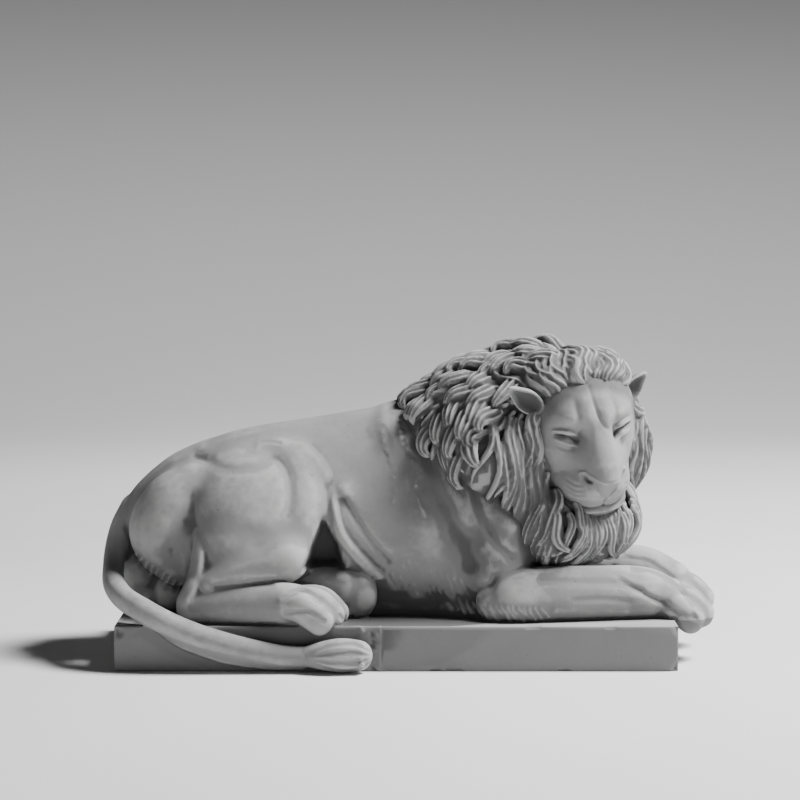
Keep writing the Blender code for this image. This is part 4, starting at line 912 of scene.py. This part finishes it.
def off_ears(paths):
    """Which paths keep clear of both ears."""
    ears = head([(-34, -17, 18), (32, -22, 14)])
    far = np.linalg.norm(paths[:, :, None] - ears[None, None], axis=-1)
    return (far.min(axis=1) > (8.0, 6.5)).all(axis=1)


def crown_locks():
    """Bold curls over small sunk strands."""
    roots = crown_roots(620)
    i = np.arange(len(roots))
    paths, outward = lock_paths(roots, swept_back, 15 + 2 * wander(i, 2.4), 0.4,
                                wander(i, 1.9), 0.8, 0.4, (-1.5, -0.3, 0.4, 0.4, -0.3))
    clear = off_ears(paths)
    shells = [lock_shells(paths[clear], outward[clear], (2.6 + 0.3 * wander(i, 1.7))[clear],
                          (2.2 + 0 * i)[clear], sides=14, groove=0.4, grooves=2)]

    # The bold curls: longer low down, flatter towards the mane's lower edge
    roots = crown_roots(250, (70.0, 0.0, 95.0))
    i = np.arange(len(roots))
    low = np.clip((112 - roots[:, 2]) / 46, 0, 1)
    edge = np.clip((roots[:, 2] - (122 - 1.14 * roots[:, 0])) / 22, 0, 1)
    curl = np.where(roots[:, 1] < 12, 1.0, -1.0) * (1.35 + 0.35 * wander(i, 2.7))
    paths, outward = lock_paths(roots, swept_back, 21 + 3 * wander(i, 2.4) + 3 * low,
                                0.35, 1.5 * wander(i, 2.1), 0.8, curl,
                                (-2.5, 1.4, 3.6, 3.4, 0.8))
    paths = paths + outward * (0.9 * wander(i, 3.3) - 1.6 * (1 - edge))[:, None, None]
    clear = off_ears(paths)
    paths, outward, i, low, edge = (v[clear] for v in (paths, outward, i, low, edge))
    shells.append(lock_shells(paths, outward, 5.6 - 0.8 * low + 0.6 * wander(i, 1.7),
                              3.8 - 0.9 * (1 - edge), groove=0.6, grooves=4, sides=36))
    print("crown and neck locks", len(roots))
    return shells


locks = crown_locks()

# %% [markdown]
# Round the face the hair grows outwards from a hairline. The line is an oval written as
# an angle round the face, and the strands stand up over the brow, fall beside the cheeks
# in long waves and hang from the jaw as a beard.


# %% Hair round the face
def hairline(a, size):
    """Places right and up on the line where the hair begins, at angles round the face.

    The line is an oval through measured places, taller than wide, enlarged by size.
    """
    turn = np.radians([0, 24, 44, 62, 78, 90, 108, 128, 146, 180])
    right = np.interp(np.abs(a), turn, [0, 11, 18.5, 25, 28.5, 28.5, 28, 27, 24, 0])
    up = np.interp(np.abs(a), turn, [24.5, 24, 20.5, 15.5, 5, -6, -17, -28, -37, -44])
    return np.sign(a) * right * size, -7 + (up + 7) * size


def framing(p, n):
    """Hair round the face: outwards and back at the brow, falling at the cheeks and chin."""
    q = (p - HEAD_PLACE) @ HEAD_AXES
    away = unit(np.stack([q[:, 0], 0 * q[:, 0], q[:, 2] + 8], axis=-1))
    high = np.clip((q[:, 2:3] - 9) / 12, 0, 1)
    go = away * (0.12 + 0.9 * high) - np.array([0, 1.0, 0]) * (0.1 + 0.9 * high)
    return go @ HEAD_AXES.T - np.array([0, 0, 1.0]) * (1 - high) * 1.1


def frame_locks():
    """Rings of strands round the face, each ring farther out and back, waving together."""
    shells = []
    # Each ring: its size, how far ahead it starts, its strands and the cosine where it stops
    rings = ((1.0, 0, 84, 1.0), (1.09, -4, 80, 1.0), (1.19, -9, 74, 0.85), (1.3, -14, 70, 0.45),
             (1.41, -19, 66, 0.45), (1.52, -24, 58, 0.4))
    for ring, (size, back, count, highest) in enumerate(rings):
        i = np.arange(count)
        a = 2 * math.pi * ((i + 0.5 * (ring % 2)) / count - 0.5) + 0.03 * wander(i, 2.9)
        a = a[(np.cos(a) <= highest) & (np.abs(a) < math.radians(146))]
        i = np.arange(len(a))
        top = np.clip(np.cos(a), 0, 1)
        low = np.clip(-np.cos(a), 0, 1)
        right, up = hairline(a, size)
        rows = np.stack([right, back - 15 + 14 * low**1.5, up], axis=-1)
        roots = settled(head(rows), 3)
        length = 22 + 16 * (1 - top) - 2 * low + 5 * ring + 3 * wander(i, 2.2)
        phase = 2.2 * np.sin(1.5 * a) + 0.05 * roots[:, 2] + 0.25 * wander(i, 1.3)
        paths, outward = lock_paths(roots, framing, length, 0.3 + 0.4 * top, phase,
                                    1.3, 0.4 * wander(i, 2.6), (-0.8, 0.9, 1.2, 0.6, -0.6))
        paths = paths + outward * ((0.6 + 0.5 * top) * wander(i, 4.1))[:, None, None]
        clear = off_ears(paths)
        paths, outward, i, top = paths[clear], outward[clear], i[clear], top[clear]
        shells.append(lock_shells(paths, outward, 2.2 + 0.3 * wander(i, 2.0) + 0.6 * top,
                                  2.2 + 0.5 * top, groove=0.45, grooves=2, sides=18))
        print("ring", ring, "strands", len(a))
    return shells


def hanging(p, n):
    """Straight down."""
    return np.array([0.0, 0.0, -1.0]) + 0 * p


def beard_locks():
    """Strands hanging from the lower lip and jaw, in two rows, with tips that curl."""
    shells = []
    for row, (count, left, ahead, length) in enumerate(((12, -24.0, 11.0, 26.0),
                                                        (18, -33.0, 3.0, 31.0))):
        i = np.arange(count)
        across = np.linspace(left, 19.0, count) + 0.5 * wander(i, 2.3)
        rows = np.stack([across, ahead - 0.022 * across**2, 0 * across - 46.0], axis=-1)
        roots = settled(head(rows), 4)
        paths, outward = lock_paths(roots, hanging, length + 4 * wander(i, 1.9), 0.28,
                                    0.9 * wander(i, 0.8) + 1.5 * row, 1.2,
                                    1.3 * np.sign(wander(i, 2.9)),
                                    (1.5 - row, 3.0 - row, 3.4 - row, 3.0 - row, 1.8))
        paths = paths + outward * (0.8 * wander(i, 3.7))[:, None, None]
        shells.append(lock_shells(paths, outward, 3.0 + 0.4 * wander(i, 2.0), 3.0 + 0 * i,
                                  groove=0.5, grooves=3, sides=26))
    return shells


# A single broad lock hangs between the mane's lower edge and the beard
broad_lock = roll([(74, -34, 60, 4, 2.6), (78, -37, 52, 5.2, 2.8), (82, -39, 44, 5.4, 2.6),
                   (85, -40, 37, 4, 2)], (0, 1, 0))

locks += frame_locks() + beard_locks() + [broad_lock]

# %% [markdown]
# Now the parts are fused from coarse to fine: body, limbs and plinth block, whose edges
# come out slightly rounded, as edges of a casting do, then the head, then the mane. At the
# end the three cross as closed meshes and are united exactly, because one more voxel
# remesh, fine enough for the locks, would take millions of faces.


# %% The whole figure
CORE_VOXEL = 2.0
LIMB_VOXEL = 1.0
BODY_VOXEL = 0.7
HEAD_VOXEL = 0.6
CRISP_VOXEL = 0.5
BODY_TRIANGLES = 68000
FACE_TRIANGLES = 24000
MANE_TRIANGLES = 125000
FLANK = [(-53, 26), (-38, 62), (-34, 58), (-30, 40), (-22, 26)]


def plinth_block():
    """The plinth as a closed box just under the figure."""
    half = np.array([PLINTH_LENGTH, PLINTH_WIDTH, PLINTH_HEIGHT]) / 2
    corners = np.array([(x, y, z) for x in (-1, 1) for y in (-1, 1) for z in (-1, 1)])
    sides = [(0, 1, 3, 2), (4, 6, 7, 5), (0, 4, 5, 1), (2, 3, 7, 6), (0, 2, 6, 4), (1, 5, 7, 3)]
    block = bpy.data.meshes.new("plinth")
    block.from_pydata((corners * half - (0, 0, half[2])).tolist(), [], sides)
    block.update()
    return block


def united(first, second):
    """One mesh from two closed ones that cross, by a Boolean union."""
    stand = placed("first", first)
    other = placed("second", second)
    union = stand.modifiers.new("unite", "BOOLEAN")
    union.operation = "UNION"
    union.solver = "MANIFOLD"
    union.object = other
    view = bpy.context.evaluated_depsgraph_get()
    result = bpy.data.meshes.new_from_object(stand.evaluated_get(view))
    bpy.data.objects.remove(stand)
    bpy.data.objects.remove(other)
    return result


core = worked(mesh_of("core", core_masses()), CORE_VOXEL, 14)
core = hollow(core, FLANK, 20.0, 4.0)
limbs = worked(mesh_of("limbs", limb_masses()), LIMB_VOXEL, 3)
body = worked(joined("body", [core, limbs]), BODY_VOXEL, 8)
body = strokes(body, body_marks(), SIDE_VIEW)
body = worked(joined("body", [body, plinth_block()]), BODY_VOXEL, 1)
body = strokes(body, plinth_marks(), SIDE_VIEW)
print("body and plinth", len(body.polygons), "faces")

face = worked(mesh_of("face", head_masses()), HEAD_VOXEL, 6)
face = worked(joined("face", [face, mesh_of("ears", ear_pair())]), CRISP_VOXEL, 1)
face = strokes(face, face_marks(), FACE_VIEW, HEAD_PLACE, 0.5)
mane = worked(mesh_of("mane", mane_mass + locks), CRISP_VOXEL, 1)
print("face", len(face.polygons), "and mane", len(mane.polygons), "faces")

body = worked(body, triangles=BODY_TRIANGLES)
face = worked(face, triangles=FACE_TRIANGLES)
mane = worked(mane, triangles=MANE_TRIANGLES)
skin = united(united(body, face), mane)
print("reduced to", len(skin.polygons), "triangles")

# %% [markdown]
# Hollows are painted darker, for dust and for the shade that falls in them, and crests
# lighter, for wear and as painted highlight. Both follow from the shape, so they are
# measured on the mesh: the skin is averaged with its neighbours many times, and how far
# each point then lies below or above the average is kept as an attribute. A third
# attribute marks the hair: skin near the mane's mass, except on the bare face.


# %% Hollows and crests
def hollows(mesh, rounds):
    """Depth of each vertex below the skin averaged over its neighbours, in millimetres."""
    points, normals = points_and_normals(mesh)
    edges = np.empty(len(mesh.edges) * 2, np.int32)
    mesh.edges.foreach_get("vertices", edges)
    a, b = edges.reshape(-1, 2).T
    count = np.bincount(a, minlength=len(points)) + np.bincount(b, minlength=len(points))
    mean = points.copy()
    for _ in range(rounds):
        total = np.stack([np.bincount(a, mean[b, k], len(points))
                          + np.bincount(b, mean[a, k], len(points)) for k in range(3)], axis=1)
        mean = 0.3 * mean + 0.7 * total / count[:, None]
    return ((mean - points) * normals).sum(axis=1)


def keep_on_mesh(mesh, name, values):
    """Stores one number per vertex for the material to read."""
    layer = mesh.attributes.new(name, "FLOAT", "POINT")
    layer.data.foreach_set("value", values.astype(np.float32))


points, _ = points_and_normals(skin)
hair = np.clip((7 - np.abs(mane_distance(points))) / 3, 0, 1)
local = (points - HEAD_PLACE) @ HEAD_AXES
bare = 1 - (local[:, 0] / 30) ** 2 - ((local[:, 2] + 9) / 33) ** 2
hair = hair * np.clip(1 - 6 * np.where(local[:, 1] > -22, bare, -1), 0, 1)
keep_on_mesh(skin, "hair", hair)
keep_on_mesh(skin, "hollow_small", hollows(skin, 6))
keep_on_mesh(skin, "hollow_large", hollows(skin, 60))
points[:, 2] += PLINTH_HEIGHT / UNIT
place_points(skin, points)
skin.polygons.foreach_set("use_smooth", np.ones(len(skin.polygons), bool))
skin.set_sharp_from_angle(angle=math.radians(70))
lion = placed("plaster_lion", skin)
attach(lion, "root")
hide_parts("lion_on_plinth")

# %% [markdown]
# Shader maths reads best as a sum, so a small class wraps a socket and turns +, -, * and
# brackets into Math nodes. Noise, mixing and smooth steps have methods of their own, and
# any other node comes from one more.


# %% A pen for shader maths
class Wire:
    """One output socket, with the operators that shader maths needs."""

    def __init__(self, tree, socket):
        self.tree = tree
        self.socket = socket

    def node(self, kind, settings=None, **values):
        """A new node: its settings first, then its sockets by name or number."""
        made = self.tree.nodes.new(kind)
        for name, value in (settings or {}).items():
            setattr(made, name, value)
        for name, value in values.items():
            key = int(name[1:]) if name[0] == "_" else name.replace("_", " ")
            place = made.inputs[key]
            if isinstance(value, Wire):
                self.tree.links.new(value.socket, place)
            else:
                place.default_value = value
        return made

    def math(self, operation, other):
        """A Math node on this value and another."""
        made = self.node("ShaderNodeMath", {"operation": operation}, _0=self, _1=other)
        return Wire(self.tree, made.outputs[0])

    def __add__(self, other):
        return self.math("ADD", other)

    def __radd__(self, other):
        return self.math("ADD", other)

    def __sub__(self, other):
        return self.math("SUBTRACT", other)

    def __rsub__(self, other):
        return (self * -1.0).math("ADD", other)

    def __mul__(self, other):
        return self.math("MULTIPLY", other)

    def __rmul__(self, other):
        return self.math("MULTIPLY", other)

    def between(self, low, high):
        """0 at low, 1 at high, smooth in between."""
        made = self.node("ShaderNodeMapRange", {"interpolation_type": "SMOOTHSTEP"}, Value=self,
                         From_Min=low, From_Max=high)
        return Wire(self.tree, made.outputs["Result"])

    def mixed(self, a, b):
        """A colour: a where this value is 0, b where it is 1."""
        made = self.node("ShaderNodeMix", {"data_type": "RGBA"}, _0=self, _6=a, _7=b)
        return Wire(self.tree, made.outputs[2])

    def noise(self, scale, detail=4.0, roughness=0.55):
        """Noise read at this place, with about so many clouds to the metre."""
        made = self.node("ShaderNodeTexNoise", Vector=self, Scale=scale, Detail=detail,
                         Roughness=roughness)
        return Wire(self.tree, made.outputs[0])


def matt(name, specular):
    """A new material, its nodes, its shader and the place in object coordinates."""
    material = bpy.data.materials.new(name)
    material.use_nodes = True
    tree = material.node_tree
    shader = tree.nodes["Principled BSDF"]
    shader.inputs["Specular IOR Level"].default_value = specular
    place = tree.nodes.new("ShaderNodeTexCoord").outputs["Object"]
    return material, tree, shader, Wire(tree, place)


print("operators", [k for k in vars(Wire) if k.startswith("__")][1:])

# %% [markdown]
# Plaster is matt and nearly white, and this cast is a dull light grey. Close to, it has
# fine grain, soft cloudy stains and tiny air holes. Hollows and hair are darker, for dust
# and painted shade, and crests lighter, for wear and painted highlight. The plinth is a
# darker grey, and a painted shadow of the mane runs down beside it to the elbow. Every
# pattern reads object coordinates in metres, so its grain has a real size.


# %% Plaster
# Places on the shoulder, ribs and upper arm where the mane's shadow is painted into the colour
PAINTED_MANE_SHADOW = ((0.020, -0.047, 0.100), (0.040, -0.050, 0.085), (0.060, -0.052, 0.070),
         (0.080, -0.052, 0.056))


def plaster():
    """Matt grey plaster: stains, grain and air holes, with dust and painted shade in hollows and
    hair, a painted shadow by the mane, and rubbed crests with painted highlight.
    """
    material, tree, shader, place = matt("plaster", 0.3)

    def measured(name):
        """A number that the mesh carries at each vertex."""
        made = place.node("ShaderNodeAttribute", {"attribute_name": name})
        return Wire(tree, made.outputs["Fac"])

    def near(point, inner, outer):
        """1 within the inner distance of a point, 0 beyond the outer one, with a ragged edge."""
        made = place.node("ShaderNodeVectorMath", {"operation": "DISTANCE"}, _0=place, _1=point)
        ragged = Wire(tree, made.outputs["Value"]) + (place.noise(60.0) - 0.5) * 0.012
        return ragged.between(outer, inner)

    small, large, hair = (measured(name) for name in ("hollow_small", "hollow_large", "hair"))
    parts = place.node("ShaderNodeSeparateXYZ", Vector=place)
    block = (Wire(tree, parts.outputs["Z"]).between(0.0242, 0.0236)
             * Wire(tree, parts.outputs["Y"]).between(-0.0666, -0.0660))
    cloud = place.noise(28.0, 5.0).between(0.3, 0.7)
    fine = place.noise(420.0, 3.0).between(0.25, 0.75)
    # Darker in hollows and on the hair: dust, and painted shade where shade falls in them
    dust_and_shade = small * 1.6 + large * 0.45 + hair * 0.2 + (place.noise(160.0) - 0.5) * 0.5
    dust_and_shade = dust_and_shade.between(0.05, 1.0)
    # Lighter on crests: wear, and painted highlight
    rubbed_and_highlit = (small * -2.2 + (place.noise(240.0) - 0.5) * 0.6).between(0.25, 1.0)
    rubbed_and_highlit = rubbed_and_highlit * (1.0 - block * 0.85)

    tone = cloud.mixed((0.235, 0.235, 0.237, 1), (0.29, 0.29, 0.288, 1))
    tone = (fine * 0.25).mixed(tone, (0.22, 0.22, 0.222, 1))
    tone = (block * 0.6).mixed(tone, (0.125, 0.125, 0.126, 1))
    # Painted shadow of the mane, darkening the shoulder, ribs and upper arm
    for point in PAINTED_MANE_SHADOW:
        tone = (near(point, 0.004, 0.042) * 0.5).mixed(tone, (0.07, 0.07, 0.071, 1))
    # Darker hair: dust, and painted shade among the strands
    tone = (hair * 0.75).mixed(tone, (0.10, 0.10, 0.101, 1))
    tone = (dust_and_shade * 0.8).mixed(tone, (0.08, 0.08, 0.081, 1))
    tone = (rubbed_and_highlit * 0.55).mixed(tone, (0.50, 0.50, 0.495, 1))
    tree.links.new(tone.socket, shader.inputs["Base Color"])
    rough = 0.82 + 0.10 * cloud - 0.14 * rubbed_and_highlit
    tree.links.new(rough.socket, shader.inputs["Roughness"])

    cells = place.node("ShaderNodeTexVoronoi", {"feature": "F1"}, Vector=place, Scale=260.0)
    pick = place.node("ShaderNodeSeparateColor", Color=Wire(tree, cells.outputs["Color"]))
    chosen = Wire(tree, pick.outputs[0]).between(0.90, 0.93)
    hole = (1.0 - Wire(tree, cells.outputs["Distance"]).between(0.0, 0.22)) * chosen
    grain = place.noise(900.0, 3.0) * 0.35 + place.noise(220.0) * 0.65
    height = grain * 0.6 - hole * 1.6 + place.noise(75.0, 2.0) * 2.2
    bumps = place.node("ShaderNodeBump", Height=height, Distance=0.00022, Strength=0.7)
    tree.links.new(bumps.outputs["Normal"], shader.inputs["Normal"])
    return material


lion.data.materials.clear()
lion.data.materials.append(plaster())
print("nodes in plaster", len(lion.data.materials[0].node_tree.nodes))

# %% [markdown]
# A photographer's sweep is a sheet that curves up behind the subject, so that no horizon
# shows. Here it is turned into a wide bowl, a profile carried round a circle, so that it
# also works from behind. Its colour darkens far out and high up, as painted shade where
# less light falls.


# %% Sweep
def sweep(radius, cove, height, sides=96):
    """A bowl: flat to the radius, a quarter circle of the cove's radius, then upright."""
    t = np.linspace(0, math.pi / 2, 24)
    flat = np.linspace(0.0, radius, 12)[1:]
    r = np.concatenate([flat, radius + cove * np.sin(t[1:]), [radius + cove]])
    z = np.concatenate([0 * flat, cove * (1 - np.cos(t[1:])), [height]])
    f = np.linspace(0, 2 * math.pi, sides, endpoint=False)
    p = np.stack([r[:, None] * np.cos(f), r[:, None] * np.sin(f), z[:, None] + 0 * f], axis=-1)
    p = np.vstack([p.reshape(-1, 3), [[0, 0, 0]]])
    j = np.arange(sides)
    after = (j + 1) % sides
    row = np.arange(len(r) - 1)[:, None] * sides
    quads = np.stack([row + j, row + sides + j, row + sides + after, row + after], axis=-1)
    faces = quads.reshape(-1, 4).tolist() + np.stack([0 * j + len(p) - 1, j, after], 1).tolist()
    mesh = bpy.data.meshes.new("sweep")
    mesh.from_pydata(p.tolist(), [], faces)
    mesh.polygons.foreach_set("use_smooth", np.ones(len(mesh.polygons), bool))
    mesh.update()
    return mesh


def grey(level):
    """A neutral colour."""
    return level, level, level, 1


def paper():
    """Matt white sweep with a very slight unevenness, and painted shade that darkens it far out
    and high up.
    """
    material, tree, shader, place = matt("sweep paper", 0.2)
    # Painted shade: the sheet is darker far from the middle and up the wall
    radius = place.node("ShaderNodeVectorMath", {"operation": "LENGTH"}, _0=place)
    far = Wire(tree, radius.outputs["Value"]).between(0.45, 1.9)
    parts = place.node("ShaderNodeSeparateXYZ", Vector=place)
    high = Wire(tree, parts.outputs["Z"]).between(0.05, 0.75)
    tone = place.noise(3.0, 3.0, 0.5).between(0.3, 0.7).mixed(grey(0.74), grey(0.78))
    tone = high.mixed(far.mixed(tone, grey(0.50)), grey(0.15))
    tree.links.new(tone.socket, shader.inputs["Base Color"])
    shader.inputs["Roughness"].default_value = 0.9
    return material


floor = placed("sweep", sweep(1.3, 1.2, 2.6))
floor.data.materials.append(paper())
print("sweep faces", len(floor.data.polygons))

# %% [markdown]
# One soft lamp stands high on the right, a metre and a half from the lion, and throws its
# shadow to the left of the plinth. A second lights the sheet behind. The rest of the room
# is nearly dark, so that the carving keeps its shade.


# %% Light
def lamp(name, place, target, size, power):
    """A square soft light at a place, aimed at a target."""
    light = bpy.data.lights.new(name, "AREA")
    light.size = size
    light.energy = power
    stand = placed(name, light)
    stand.location = place
    stand.rotation_euler = (Vector(target) - Vector(place)).to_track_quat("-Z", "Y").to_euler()


lamp("key", (0.92, -0.01, 1.26), (0, 0, 0.08), 0.45, 70)
lamp("backdrop", (0.0, 0.9, 1.0), (0, 2.4, 0.2), 0.8, 9)
world = bpy.data.worlds.new("studio")
world.use_nodes = True
room = world.node_tree.nodes["Background"]
room.inputs["Color"].default_value = grey(1)
room.inputs["Strength"].default_value = 0.012
bpy.context.scene.world = world
print("lamps", [light.name for light in bpy.data.lights])

# %% [markdown]
# Last, the dressed figure stands in the solid's place, whose part is hidden: a finer skin may
# differ from it by a fraction of a millimetre, and no more.
